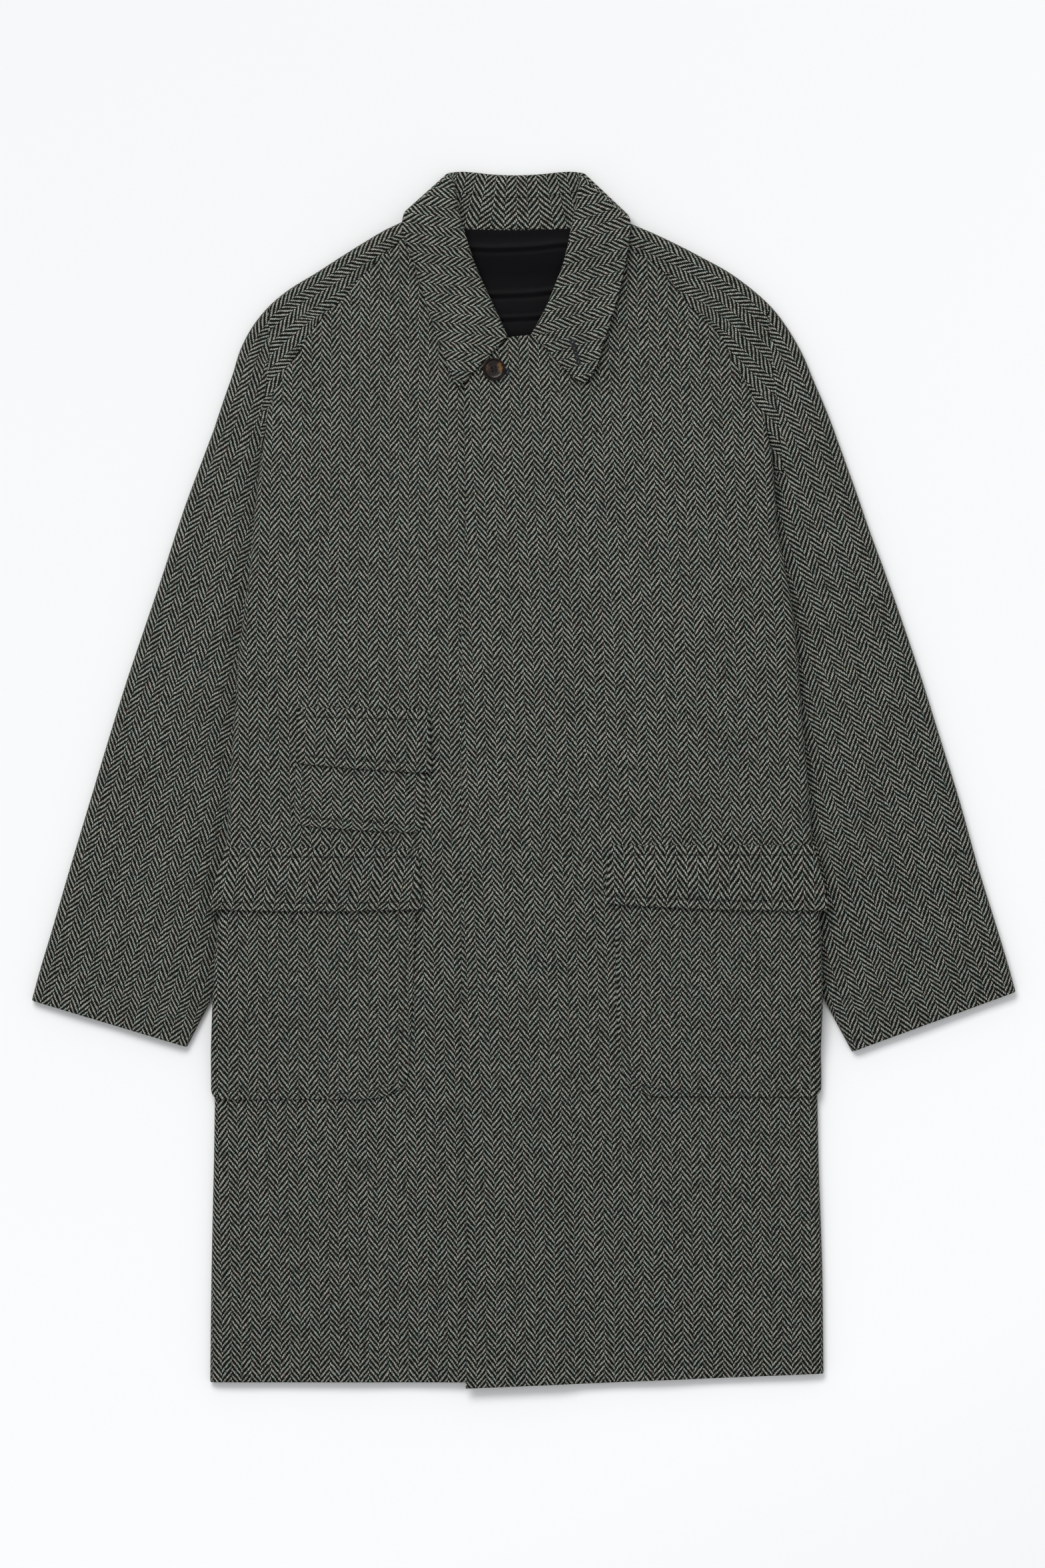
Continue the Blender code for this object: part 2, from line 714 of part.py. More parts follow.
def make_patch(name, shape, surfaces, wall, material):
    """A four-cornered patch with rounded bottom corners, laid on the front."""
    top_start, top_end = (np.array((across(x), up(y))) for x, y in shape["top"])
    bottom_start, bottom_end = (np.array((across(x), up(y))) for x, y in shape["bottom"])
    height = float(np.linalg.norm(bottom_start - top_start))
    corner = shape["corner"]
    downs = list(np.linspace(0.0, 1.0 - corner / height, 6))
    for angle in (30, 60, 90):
        downs.append(1.0 - (corner / height) * (1 - math.sin(math.radians(angle))))
    below = []
    for down in downs:
        start = top_start + (bottom_start - top_start) * down
        end = top_end + (bottom_end - top_end) * down
        from_bottom = (1.0 - down) * height
        short = max(corner - from_bottom, 0.0)
        inset = corner - math.sqrt(max(corner ** 2 - short ** 2, 0.0))
        along = (end - start) / np.linalg.norm(end - start)
        start = start + along * inset
        end = end - along * inset
        row = []
        for share in np.linspace(0.0, 1.0, PATCH_STEPS + 1):
            x, y = start + (end - start) * share
            y -= shape["sag"] * 4 * share * (1 - share) * down * MM_PER_PIXEL
            row.append((x, y, coat_top(x, y) + SEAM))
        below.append(row)
    below = np.array(below)
    below = below + rest_on(below, surfaces)
    closed_wall(name, below + UP * wall, below, material)
    return surface_of(below + UP * wall)


def make_pockets(right, left, material):
    """The two patch pockets, the ticket pocket and the flaps over them."""
    pocket_right = make_patch_pocket("pocket_right", RIGHT_POCKET, "right", right, material)
    pocket_left = make_patch_pocket("pocket_left", LEFT_POCKET, "left", left, material)
    ticket = make_patch("ticket_pocket", PATCHES["ticket_pocket"], [right], POCKET_WALL, material)
    make_patch("flap_right", PATCHES["flap_right"], [right, pocket_right], WALL, material)
    make_patch("flap_left", PATCHES["flap_left"], [left, pocket_left], WALL, material)
    make_patch("ticket_flap", PATCHES["ticket_flap"], [right, ticket], WALL, material)


def make_button(material):
    """A turned four-hole button with a raised rim, sewn flat on the left front."""
    profile = ((0.0, 1.9), (6.2, 1.9), (7.0, 2.5), (8.6, 3.6), (9.6, 3.2), (10.0, 2.2),
               (9.2, 0.6), (7.5, 0.0), (0.0, 0.0))
    size = BUTTON_RADIUS / 10.0
    x, y = float(across(BUTTON_X)), float(up(BUTTON_Y))
    floor = float(coat_top(x, y)) + SEAM
    mesh = bmesh.new()
    rings = []
    for radius, height in profile:
        if radius == 0.0:
            rings.append([mesh.verts.new((x * MM, y * MM, (floor + height) * MM))])
            continue
        ring = []
        for step in range(BUTTON_SIDES):
            angle = 2 * math.pi * step / BUTTON_SIDES
            ring.append(mesh.verts.new(((x + radius * size * math.cos(angle)) * MM,
                                        (y + radius * size * math.sin(angle)) * MM,
                                        (floor + height) * MM)))
        rings.append(ring)
    for above, below in zip(rings, rings[1:]):
        for step in range(BUTTON_SIDES):
            following = (step + 1) % BUTTON_SIDES
            corners = [above[step % len(above)], above[following % len(above)],
                       below[following % len(below)], below[step % len(below)]]
            mesh.faces.new(list(dict.fromkeys(corners)))
    bmesh.ops.recalc_face_normals(mesh, faces=mesh.faces)
    button = add_object("button", mesh, material)
    for step in range(4):
        angle = math.radians(45 + 90 * step)
        hole = bmesh.new()
        bmesh.ops.create_cone(hole, cap_ends=True, segments=8, radius1=BUTTON_HOLE_RADIUS * MM,
                              radius2=BUTTON_HOLE_RADIUS * MM, depth=3 * BUTTON_THICKNESS * MM)
        place = ((x + BUTTON_HOLE_SPREAD * math.cos(angle)) * MM,
                 (y + BUTTON_HOLE_SPREAD * math.sin(angle)) * MM, floor * MM)
        bmesh.ops.translate(hole, verts=hole.verts, vec=place)
        cutter = add_object("hole_cutter_%d" % step, hole, material)
        cutter.hide_render = True
        cutter.display_type = "WIRE"
        cut = button.modifiers.new("hole %d" % step, "BOOLEAN")
        cut.object = cutter
        cut.operation = "DIFFERENCE"
        cut.solver = "EXACT"
    return button


def main():
    for old in list(bpy.data.objects):
        bpy.data.objects.remove(old, do_unlink=True)
    tweed = make_material("tweed", (0.075, 0.078, 0.072), 0.95)
    sleeve_tweed = make_material("sleeve tweed", (0.065, 0.068, 0.063), 0.95)
    collar_tweed = make_material("collar tweed", (0.082, 0.085, 0.078), 0.95)
    satin = make_material("satin lining", (0.006, 0.006, 0.007), 0.35)
    horn = make_material("horn", (0.02, 0.014, 0.011), 0.3)
    make_back(tweed)
    right, left = make_fronts(tweed)
    sleeves = [
        make_sleeve("sleeve_right", RIGHT_SLEEVE, RIGHT_SHOULDER, RIGHT_FOLD, sleeve_tweed),
        make_sleeve("sleeve_left", LEFT_SLEEVE, LEFT_SHOULDER, LEFT_FOLD, sleeve_tweed),
    ]
    frames = collar_frames()
    make_collar_fall(frames, [right, left, *sleeves], collar_tweed)
    make_collar_stand(frames, collar_tweed)
    make_neck_lining(satin)
    make_pockets(right, left, tweed)
    make_button(horn)


main()
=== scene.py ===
"""Balmacaan coat in herringbone tweed, laid flat on its back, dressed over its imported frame.

X runs across the coat, Y up to its collar and Z up from the surface that it lies on. Left and
right are the wearer's, so the left front is at +X and laps over the right one. The outline
tables hold places in the photograph, 1568 x 2352 pixels seen from straight above, and lengths are
worked out in millimetres before each piece is made in metres.
"""

import math
from collections import namedtuple

import bpy
import numpy as np
from bpy.props import FloatProperty, FloatVectorProperty, PointerProperty
from bpy.types import Operator, Panel, PropertyGroup
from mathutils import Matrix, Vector
from mathutils.bvhtree import BVHTree


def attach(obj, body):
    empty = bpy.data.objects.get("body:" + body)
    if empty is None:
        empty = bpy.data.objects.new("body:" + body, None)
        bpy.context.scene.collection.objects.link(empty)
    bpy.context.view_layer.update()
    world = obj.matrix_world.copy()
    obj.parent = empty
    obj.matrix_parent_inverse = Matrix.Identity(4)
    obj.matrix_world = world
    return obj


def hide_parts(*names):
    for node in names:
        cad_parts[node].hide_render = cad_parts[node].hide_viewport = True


bl_info = {
    "name": "Herringbone balmacaan coat",
    "version": (1, 0, 0),
    "blender": (4, 5, 0),
    "location": "3D View > Sidebar > Coat",
    "description": "Builds a tweed balmacaan coat laid flat, piece by piece",
    "category": "Object",
}

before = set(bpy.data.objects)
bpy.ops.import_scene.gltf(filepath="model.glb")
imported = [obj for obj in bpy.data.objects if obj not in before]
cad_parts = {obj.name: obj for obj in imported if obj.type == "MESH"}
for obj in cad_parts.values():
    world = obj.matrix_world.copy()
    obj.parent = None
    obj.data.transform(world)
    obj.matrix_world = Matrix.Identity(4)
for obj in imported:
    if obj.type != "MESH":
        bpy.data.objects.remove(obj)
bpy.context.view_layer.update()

MM = 0.001
MM_PER_PIXEL = 0.62
MIDDLE_X = 785.8
MIDDLE_Y = 1170.0
PHOTO_WIDTH = 1568
PHOTO_HEIGHT = 2352

# Cloth, in millimetres
WALL = 2.6
COLLAR_WALL = 3.0
POCKET_WALL = 2.0
LINING_WALL = 1.0
SEAM = 0.3
REST_GAP = 0.35
STACK = 8.8
HALF_STACK = STACK / 2
EDGE_ROUND = 6.0
LAP_RISE = WALL + SEAM

# How the cloth is lifted by what lies under it
SLEEVE_LIFT = STACK + 2 * SEAM
SLEEVE_RAMP = 120.0
SLEEVE_MARGIN = 12.0
COLLAR_LIFT = COLLAR_WALL + SEAM
ROLL_RISE = 4.0
ROLL_GAP = 0.5
ARMPIT_FLAT_Y = 588
ARMPIT_LIFTED_Y = 700
CUFF_LIFTED_Y = 1490
CUFF_FLAT_Y = 1640
COLLAR_UNDER_Y = 366
COLLAR_CLEAR_Y = 420
LAP_START_X = 672
LAP_RAISED_X = 690
LAP_LEVEL_X = 832
LAP_END_X = 880
LAP_FLAT_Y = 445
LAP_RAISED_Y = 500
RIGHT_FRONT_EDGE_X = 820
HEM_UNDER_LAP_Y = 2079

# The trough of each sleeve's fold beside the armhole, and the one beside the body's edge
FOLD_DEPTH = 3.4
FOLD_WIDTH = 8.0
FOLD_FADE = 25.0
ARMPIT_Y = 690
ARMPIT_FADE = 20.0
SIDE_TROUGH_PLACE = 3.0
SIDE_TROUGH_DEPTH = 3.4
SIDE_TROUGH_REACH = 10.0
SLEEVE_FREE_PLACE = 4.0
SLEEVE_FREE_REACH = 26.0

# Between which rows of the photograph the soft folds and waves fade out toward the neck
EVEN_Y = 330
UNEVEN_Y = 420

# Rows of the shoulder tables where the neck seam ends and where the arm bends, how round the
# body's edge still is in their first rows, and how far a line that the weave follows runs on
BACK_NECK_ROW = 12
BEND_ROW = 5
ARMPIT_ROUNDNESS = (0.85, 0.4, 0.1)
LINE_RUN_ON = 400.0

# The collar: up to which turn in degrees it counts as a leaf, how the leaves' outer edges lift,
# how round their tips are, how low their front ends lie, and where its columns and those of the
# stand run, as shares of their width
LEAF_TURN = 60
LEAF_EDGE_LIFT = 4.6
LEAF_EDGE_REACH = 0.22
LEAF_TIP_ROUND = {-1: 3.5, 1: 7.0}
LEAF_TIP_REACH = 20.0
LEAF_FRONT_RISE = 0.35
LEAF_FRONT_REACH = 45.0
LEAF_WIDTH = 62.0
LEAF_SHARES = np.linspace(0.05, 1.0, 19)
INSIDE_SHARES = (0.35, 0.7, 1.0)
STAND_SHARES = np.linspace(0.0, 1.0, 9)
STAND_END_Y = 492

# The lining's sag along its top edge and across its folds
LINING_STEP = 1.6
LINING_COLUMNS = 45
TOP_SAG = 2.2
TOP_SAG_REACH = 10.0
FOLD_SAG = 4.5
FOLD_SAG_X = -28.0
FOLD_SAG_REACH = 24.0
FOLD_SWAY = 1.3
FOLD_SWAY_LENGTH = 11.0
FOLD_END_FADE = 0.4

# The pockets' rounded outer corners and the swell of their side edges below the flaps
SIDE_CORNER = 9.0
POCKET_ROUNDNESS = 0.85
POCKET_BULGE = 1.3
BULGE_Y = 1365
BULGE_FADE = 25.0

# Stitched lines: how far in from an edge they run in pixels, the groove that they pull into the
# cloth, how the weave is taken up at an edge, and the stitches
TOP_BAND = 14.5
BOTTOM_BAND = 12.0
GROOVE_DEPTH = 0.35
GROOVE_PINCH = 0.65
GROOVE_WIDTH = 0.9
GROOVE_OFFSETS = (-1.8, -1.1, -0.5, 0.0, 0.5, 1.1, 1.8)
EDGE_TAKE_UP = 1.8
EDGE_TAKE_UP_REACH = 2.6
STITCH_LENGTH = 2.7
STITCH_GAP = 0.7
STITCH_RADIUS = 0.3
STITCH_SIDES = 6
SIDE_STITCHED = 0.5
TOP_LINE_INSETS = (4.0, -1.0)
PATCH_LINE_STEPS = 25
POCKET_SIDE_ROW = 4
POCKET_LINE_END = 8.0

# How fine the meshes are, in millimetres, with angles in degrees
ROW_STEP = 5.0
COLUMN_STEP = 5.0
COLLAR_STEP = 3.2
PATCH_STEP = 3.0
CLOSE_OFFSETS = (0.35, 0.9, 1.7)
CLOSEST_ROW = 0.15
CORNER_ANGLES = (10, 20, 30, 40, 50, 60, 70, 80)
NARROW = 40.0
EDGE_SHARE = 0.4
CLOSE_MARGIN = 1.5
ROUND_ANGLES = (90, 72, 54, 36, 18)
ROLL_ANGLES = (20, 40, 60, 80, 100, 120, 140, 160, 180)
THINNEST = 0.12
SHARP_ANGLE = 55

# How high above the surface a search for the cloth below begins, in metres
RAY_START = 0.2

# The button from its middle out and round to its back, as radius and height in millimetres, its
# holes and its thread
BUTTON_X, BUTTON_Y = 741.6, 554.4
BUTTON_PROFILE = ((0.0, 1.75), (1.2, 1.72), (3.2, 1.7), (5.2, 1.75), (6.6, 1.95), (7.2, 2.15),
                  (7.45, 2.05), (7.75, 1.75), (8.0, 1.75), (8.25, 2.3), (8.6, 3.1), (8.95, 3.5),
                  (9.3, 3.5), (9.65, 3.1), (9.9, 2.5), (10.0, 2.0), (9.7, 1.2), (9.2, 0.6),
                  (7.5, 0.05), (0.0, 0.0))
BUTTON_SCALE = 1.06
BUTTON_FACE = 1.75
BUTTON_SIDES = 72
BUTTON_SHARP_ANGLE = 35
HOLE_RADIUS = 1.0
HOLE_SPREAD = 2.1
HOLE_SIDES = 20
HOLE_TURNS = (58, 148, 238, 328)
HOLE_PROFILE = ((-3.0, 1.0), (1.5, 1.0), (1.68, 1.28), (4.0, 1.28))
THREAD_OFFSETS = (-0.35, 0.0, 0.35)
THREAD_RADIUS = 0.3

# The buttonholes: the middle of the keyhole's eye and the far end, in pixels, and the eye's radius
FRONT_BUTTONHOLE = ((760.5, 557.5), (738, 555), 1.6)
LEAF_BUTTONHOLE = ((859, 513.5), (869, 547), 1.3)
BOUND_WIDTH = 1.8
BOUND_STEP = 0.85
BOUND_RADIUS = 0.5
BOUND_LIFT = 0.3
EYE_DEGREES = (35, 326, 18)
EYE_WIDTH = 1.4
BAR_OFFSETS = (-0.9, -0.3, 0.3, 0.9)
BAR_HALF = 0.9

# The herringbone: the threads in a column, those that one repeat of the twill runs over and
# those of them that lie light side up
COLUMN_ENDS = 8
TWILL = 4
LIGHT_FLOAT = 2

# How far apart the satin's fine lines are, in metres
SATIN_PITCH = 0.0011

# The stage, in metres, with the camera's sensor in millimetres
FLOOR_HALF = 5.0
FLOOR_BELOW = 0.0004
SKY = (0.97, 0.985, 1.0, 1.0)
LAMP_SIZE = (2.6, 1.6)
LAMP_AIM = (0.0, 0.1, 0.0)
COAT_HEIGHT = 0.01
SENSOR = 36.0

UP = np.array((0.0, 0.0, 1.0))
OUTWARD = {"right": -1.0, "left": 1.0}

# The cut edge of a cloth row: how far it falls round, how far it dips into a seam, and how far
# it is a fold of the cloth itself, each from 0 to 1 for every row
Edge = namedtuple("Edge", "around seam fold")


def table(columns, *rows):
    """The columns of a table by name."""
    return dict(zip(columns.split(), np.array(rows, float).T))


# Body from the hem to the armpit: its two side edges and the left front's own edge
BODY = table(
    "right_x right_y left_x left_y lap_x lap_y",
    (315, 2074, 1236, 2061, 699, 2083),
    (317, 1904, 1234, 1900, 701, 1900),
    (321, 1713, 1228, 1713, 697, 1713),
    (322, 1640, 1227, 1640, 695, 1640),
    (322, 1608, 1227, 1608, 694, 1608),
    (322, 1577, 1226, 1577, 693, 1577),
    (323, 1548, 1227, 1548, 692, 1548),
    (324, 1520, 1228, 1520, 692, 1520),
    (325, 1493, 1229, 1493, 692, 1493),
    (331, 1400, 1226, 1400, 692, 1400),
    (336, 1320, 1223, 1320, 692, 1320),
    (341, 1250, 1218, 1250, 692, 1250),
    (347, 1150, 1210, 1150, 692, 1150),
    (353, 1060, 1202, 1060, 692, 1060),
    (357, 1000, 1198, 1000, 692, 1000),
    (364, 934, 1192, 938, 692, 934),
    (370, 890, 1185, 890, 693, 890),
    (376, 845, 1176, 845, 695, 845),
    (380, 795, 1167, 795, 698, 795),
    (385, 745, 1163, 745, 699, 745),
    (390, 700, 1160, 700, 698, 700),
)

# Each sleeve from the cuff to the armpit: the fold over the arm and the one under it
RIGHT_SLEEVE = table(
    "over_x over_y under_x under_y",
    (47, 1501, 280, 1571),
    (58, 1460, 299, 1534),
    (75, 1403, 327, 1480),
    (105, 1300, 379, 1378),
    (135, 1200, 428, 1280),
    (165, 1100, 465, 1180),
    (190, 1020, 476, 1100),
    (217, 940, 468, 1020),
    (244, 860, 440, 935),
    (265, 795, 400, 862),
    (284, 740, 384, 800),
    (303, 690, 387, 745),
)
LEFT_SLEEVE = table(
    "over_x over_y under_x under_y",
    (1524.6, 1488, 1279, 1578),
    (1512, 1443, 1252, 1528),
    (1499, 1400, 1232, 1490),
    (1468, 1300, 1182, 1395),
    (1440, 1200, 1133, 1300),
    (1409, 1100, 1092, 1203),
    (1384, 1020, 1079, 1118),
    (1357, 940, 1086, 1030),
    (1329, 860, 1112, 940),
    (1305, 795, 1150, 865),
    (1286, 740, 1163, 800),
    (1268, 690, 1161, 745),
)

# From the armpit to the neck: the fold over the shoulder, the raglan seam and the front's inner
# edge, which becomes the neck seam
RIGHT_SHOULDER = table(
    "over_x over_y seam_x seam_y inner_x inner_y",
    (320, 645, 390, 700, 820, 700),
    (335, 600, 398, 648, 820, 650),
    (349, 560, 405, 606, 820, 606),
    (361, 522, 414, 581, 820, 565),
    (378, 490, 429, 554, 815, 530),
    (402, 460, 445, 532, 790, 512),
    (433, 434, 464, 502, 752, 503),
    (472, 410, 488, 471, 735, 482),
    (508, 387, 516, 447, 720, 456),
    (545, 364, 547, 409, 704, 424),
    (577, 345, 578, 381, 690, 392),
    (606, 331, 604, 358, 681, 364),
    (626, 317, 622, 342, 674, 345),
    (641, 305, 638, 328, 665, 328),
    (654, 296, 652, 315, 657, 317),
)
LEFT_SHOULDER = table(
    "over_x over_y seam_x seam_y inner_x inner_y",
    (1250, 640, 1160, 700, 698, 700),
    (1237, 607, 1155, 668, 697, 650),
    (1221, 570, 1145, 625, 696, 606),
    (1204, 530, 1129, 592, 698, 572),
    (1186, 498, 1113, 562, 703, 545),
    (1163, 466, 1098, 536, 722, 520),
    (1133, 437, 1082, 504, 765, 506),
    (1094, 408, 1058, 481, 800, 501),
    (1052, 385, 1030, 453, 828, 484),
    (1015, 366, 1006, 420, 847, 452),
    (979, 349, 977, 391, 862, 412),
    (942, 333, 944, 374, 873, 376),
    (918, 317, 908, 345, 881, 354),
    (905, 308, 899, 338, 886, 343),
    (894, 300, 891, 331, 888, 334),
)

# Collar from the tip of a leaf to the middle of the back: the roll line, the outer edge, the neck
# seam, how far the cloth has turned over to lie under the coat, and how deep it runs inside
RIGHT_COLLAR = table(
    "roll_x roll_y edge_x edge_y neck_x neck_y turn inside",
    (762, 505, 686, 584, 755, 501, 0, 4),
    (751, 480, 674, 553, 738, 481, 0, 4),
    (739, 454, 662, 523, 723, 455, 0, 5),
    (725, 424, 650, 488, 707, 423, 0, 5),
    (713, 396, 639, 454, 693, 391, 0, 5),
    (703, 366, 628, 418, 684, 363, 0, 5),
    (695, 340, 617, 386, 677, 344, 0, 6),
    (688, 312, 608, 360, 668, 327, 0, 8),
    (683, 286, 603, 336, 662, 316, 20, 12),
    (678, 266, 604, 325, 659, 308, 50, 16),
    (674, 257, 606, 318, 659, 303, 90, 19),
    (677, 256, 610, 322, 662, 309, 130, 22),
    (683, 256, 618, 329, 668, 320, 165, 25),
    (695, 256.5, 640, 341, 676, 332, 180, 27),
    (713, 258, 678, 352, 692, 342, 180, 28),
    (742, 261, 726, 358, 730, 342.5, 180, 28),
    (772, 262, 772, 359, 772, 343, 180, 28),
)
LEFT_COLLAR = table(
    "roll_x roll_y edge_x edge_y neck_x neck_y turn inside",
    (797, 501, 873, 580, 804, 496.5, 0, 3),
    (806, 486, 890, 560, 814, 489, 0, 4),
    (822, 454, 905, 518, 843, 453, 0, 5),
    (834, 424, 917, 480, 855, 424, 0, 5),
    (845, 394, 928, 443, 865, 394, 0, 5),
    (852, 366, 936, 408, 874, 366, 0, 5),
    (857, 340, 942, 376, 882, 343, 0, 6),
    (863, 312, 945, 352, 884, 329, 0, 8),
    (868, 286, 946, 338, 886, 318, 20, 12),
    (872, 266, 946, 329, 887, 309, 50, 16),
    (874, 257, 943, 322, 887, 304, 90, 19),
    (871, 256, 939, 326, 884, 310, 130, 22),
    (865, 256, 931, 333, 878, 321, 165, 25),
    (852, 256.5, 908, 345, 870, 333, 180, 27),
    (834, 258, 870, 354, 852, 343.5, 180, 28),
    (803, 261, 819, 358, 810, 343, 180, 28),
)

NECK_LINING = table(
    "right_x right_y left_x left_y",
    (660, 341.5, 884, 341),
    (672, 372, 874, 374),
    (684, 400, 866, 402),
    (696, 430, 856, 432),
    (710, 460, 844, 462),
    (724, 490, 832, 492),
    (734, 515, 822, 517),
    (742, 540, 814, 541),
)

RIGHT_POCKET = table(
    "inner_x inner_y",
    (624, 1308),
    (624, 1375),
    (621, 1450),
    (618, 1521),
    (614, 1590),
    (613, 1613),
    (603, 1630),
    (577, 1644),
    (545, 1649),
)
LEFT_POCKET = table(
    "inner_x inner_y",
    (922, 1308),
    (923, 1375),
    (924, 1450),
    (926, 1521),
    (929, 1577),
    (934, 1605),
    (945, 1625),
    (963, 1639),
    (985, 1645),
)

# Four-cornered patches: their top and bottom corners, how round the bottom ones are, where the
# herringbone peaks on them and how it leans, how wide apart the peaks are and how long each
# chevron is, in pixels, how far the bottom edge lifts and how thick the cloth is, in
# millimetres, and what each of them lies on
PATCHES = {
    "ticket_pocket": dict(top=((447, 1100), (640, 1102)), bottom=((441, 1238), (636, 1250)),
                          corner=11.0, sag=1.5, peak=562.7, lean=-0.02, period=31.2, pitch=8.0,
                          lift=0.0, wall=POCKET_WALL, stitched_top=False, on=("front_right",)),
    "flap_right": dict(top=((340, 1271), (627, 1273)), bottom=((309, 1364), (636, 1364)),
                       corner=7.5, sag=3.0, peak=468.8, lean=-0.14, period=31.2, pitch=10.1,
                       lift=3.4, wall=WALL, stitched_top=True,
                       on=("front_right", "pocket_right")),
    "flap_left": dict(top=((914, 1268), (1221, 1267)), bottom=((907, 1356), (1245, 1366)),
                      corner=8.5, sag=3.0, peak=1077.5, lean=0.03, period=31.5, pitch=10.3,
                      lift=3.4, wall=WALL, stitched_top=True, on=("front_left", "pocket_left")),
    "ticket_flap": dict(top=((447, 1061), (646, 1065)), bottom=((444, 1145), (648, 1160)),
                        corner=5.0, sag=1.5, peak=550.4, lean=-0.02, period=30.2, pitch=8.9,
                        lift=2.6, wall=WALL, stitched_top=True,
                        on=("front_right", "ticket_pocket")),
}

RIGHT_FOLD = ((402, 460), (404, 508), (401, 560), (392, 620), (389, 718))
LEFT_FOLD = ((1151, 450), (1155, 500), (1163, 579), (1172, 650), (1174, 710))

# A herringbone peak followed down each front: where it runs and how far apart the peaks are
RIGHT_PEAK = table("x y period", (658, 350, 29.3), (658, 660, 29.3), (657.5, 950, 30.2),
                   (666, 1450, 30.0), (672, 1950, 29.5))
LEFT_PEAK = table("x y period", (730, 450, 30.2), (738, 660, 30.2), (746, 800, 30.1),
                  (753, 950, 30.4), (761, 1150, 30.2), (776, 1450, 30.2), (787, 1800, 29.6),
                  (789, 1950, 29.6))
BACK_PEAK = table("x y period", (785.8, 350, 30.2), (785.8, 2080, 30.2))
POCKET_PEAK = {"right": (478.0, 30.0), "left": (1081.5, 29.9)}
SLEEVE_PERIOD = {"right": 28.7, "left": 30.0}

# The herringbone of each collar leaf: a place on it, the way its columns lean from straight down,
# where the peaks lie beside that place and how far apart they are
LEAF_GRAIN = {-1: (680, 440, -84, 11.7, 28.2), 1: (880, 440, 74, 11.4, 30.0)}

# Soft folds in the cloth as it lies: middle, lean from straight up the coat in degrees, half
# length, half width and height in millimetres
SOFT_FOLDS = table(
    "x y lean length width height",
    (668, 1340, 0, 440, 9, -1.2),
    (440, 900, 4, 130, 26, 0.8),
    (520, 760, -8, 120, 30, -0.6),
    (600, 1560, 3, 90, 16, -0.9),
    (470, 1740, 86, 110, 24, -0.9),
    (400, 1850, 2, 110, 26, 0.7),
    (560, 1880, -3, 120, 22, -0.6),
    (900, 1500, -3, 130, 17, -0.9),
    (1090, 1730, 94, 110, 24, -0.9),
    (960, 1850, 2, 120, 24, 0.7),
    (1140, 1860, -4, 110, 26, -0.7),
    (1050, 800, -5, 150, 28, 0.8),
    (900, 700, 6, 130, 30, -0.5),
    (1120, 1050, -4, 120, 22, -0.7),
    (420, 1180, 5, 90, 20, -0.7),
    (770, 1500, 1, 260, 22, 0.7),
    (200, 1320, 20, 80, 18, -1.0),
    (150, 1440, 24, 50, 14, 0.8),
    (255, 1160, 14, 90, 20, 0.9),
    (300, 900, 17, 80, 16, -0.9),
    (1370, 1330, -22, 80, 18, -1.0),
    (1430, 1440, -15, 50, 15, 0.8),
    (1310, 1140, -16, 90, 20, 0.8),
    (1260, 900, -14, 80, 17, -0.9),
    (500, 470, 55, 70, 18, 0.7),
    (1060, 480, -52, 70, 18, 0.7),
    (617, 470, -14, 74, 7, -2.2),
    (940, 470, 14, 74, 7, -2.2),
)
# Waves that run through the whole cloth: length, direction in degrees, start and height
WAVES = table("length turn start height", (96, 12, 0.4, 0.28), (133, 104, 1.9, 0.3),
              (71, 63, 3.1, 0.18), (58, 151, 5.2, 0.14))

# Folds of the lining: place down the photograph, half width and height in millimetres
LINING_FOLDS = table("y width height", (353, 5, -0.4), (367, 2.4, 1.3), (372, 2.2, -0.9),
                     (396, 9, 0.4), (436, 2.6, 1.2), (441, 2.2, -0.8), (462, 7, 0.4),
                     (472, 2.4, 1.0), (476, 2.0, -0.7), (492, 5, 0.5))

# Each cloth piece's cut: its width and length in metres and how much of that rectangle it fills
CUTS = {
    "back": (0.59, 1.10, 0.84),
    "front_left": (0.35, 1.12, 0.81),
    "front_right": (0.33, 1.11, 0.815),
    "sleeve_left_front": (0.20, 0.80, 0.655),
    "sleeve_left_back": (0.20, 0.80, 0.655),
    "sleeve_right_front": (0.19, 0.80, 0.625),
    "sleeve_right_back": (0.19, 0.80, 0.625),
    "collar_fall": (0.60, 0.09, 0.66),
    "collar_stand": (0.33, 0.03, 0.67),
    "neck_lining": (0.134, 0.12, 0.68),
    "pocket_left": (0.20, 0.215, 0.935),
    "pocket_right": (0.195, 0.215, 0.94),
    "flap_left": (0.209, 0.061, 0.965),
    "flap_right": (0.203, 0.060, 0.955),
    "ticket_pocket": (0.123, 0.092, 0.97),
    "ticket_flap": (0.126, 0.0605, 0.96),
}


def across(x):
    """A place across the photograph as millimetres from the middle."""
    return (np.asarray(x, float) - MIDDLE_X) * MM_PER_PIXEL


def up(y):
    """A place down the photograph as millimetres above the middle."""
    return (MIDDLE_Y - np.asarray(y, float)) * MM_PER_PIXEL


def ease(amount):
    """A soft step from 0 to 1."""
    amount = np.clip(amount, 0.0, 1.0)
    return amount * amount * (3.0 - 2.0 * amount)


def points(columns, name):
    """The places that a table gives under one name, one row each."""
    return np.stack([across(columns[name + "_x"]), up(columns[name + "_y"])], axis=1)


def unit(vectors):
    """Directions, each one long."""
    return vectors / np.linalg.norm(vectors, axis=-1, keepdims=True)


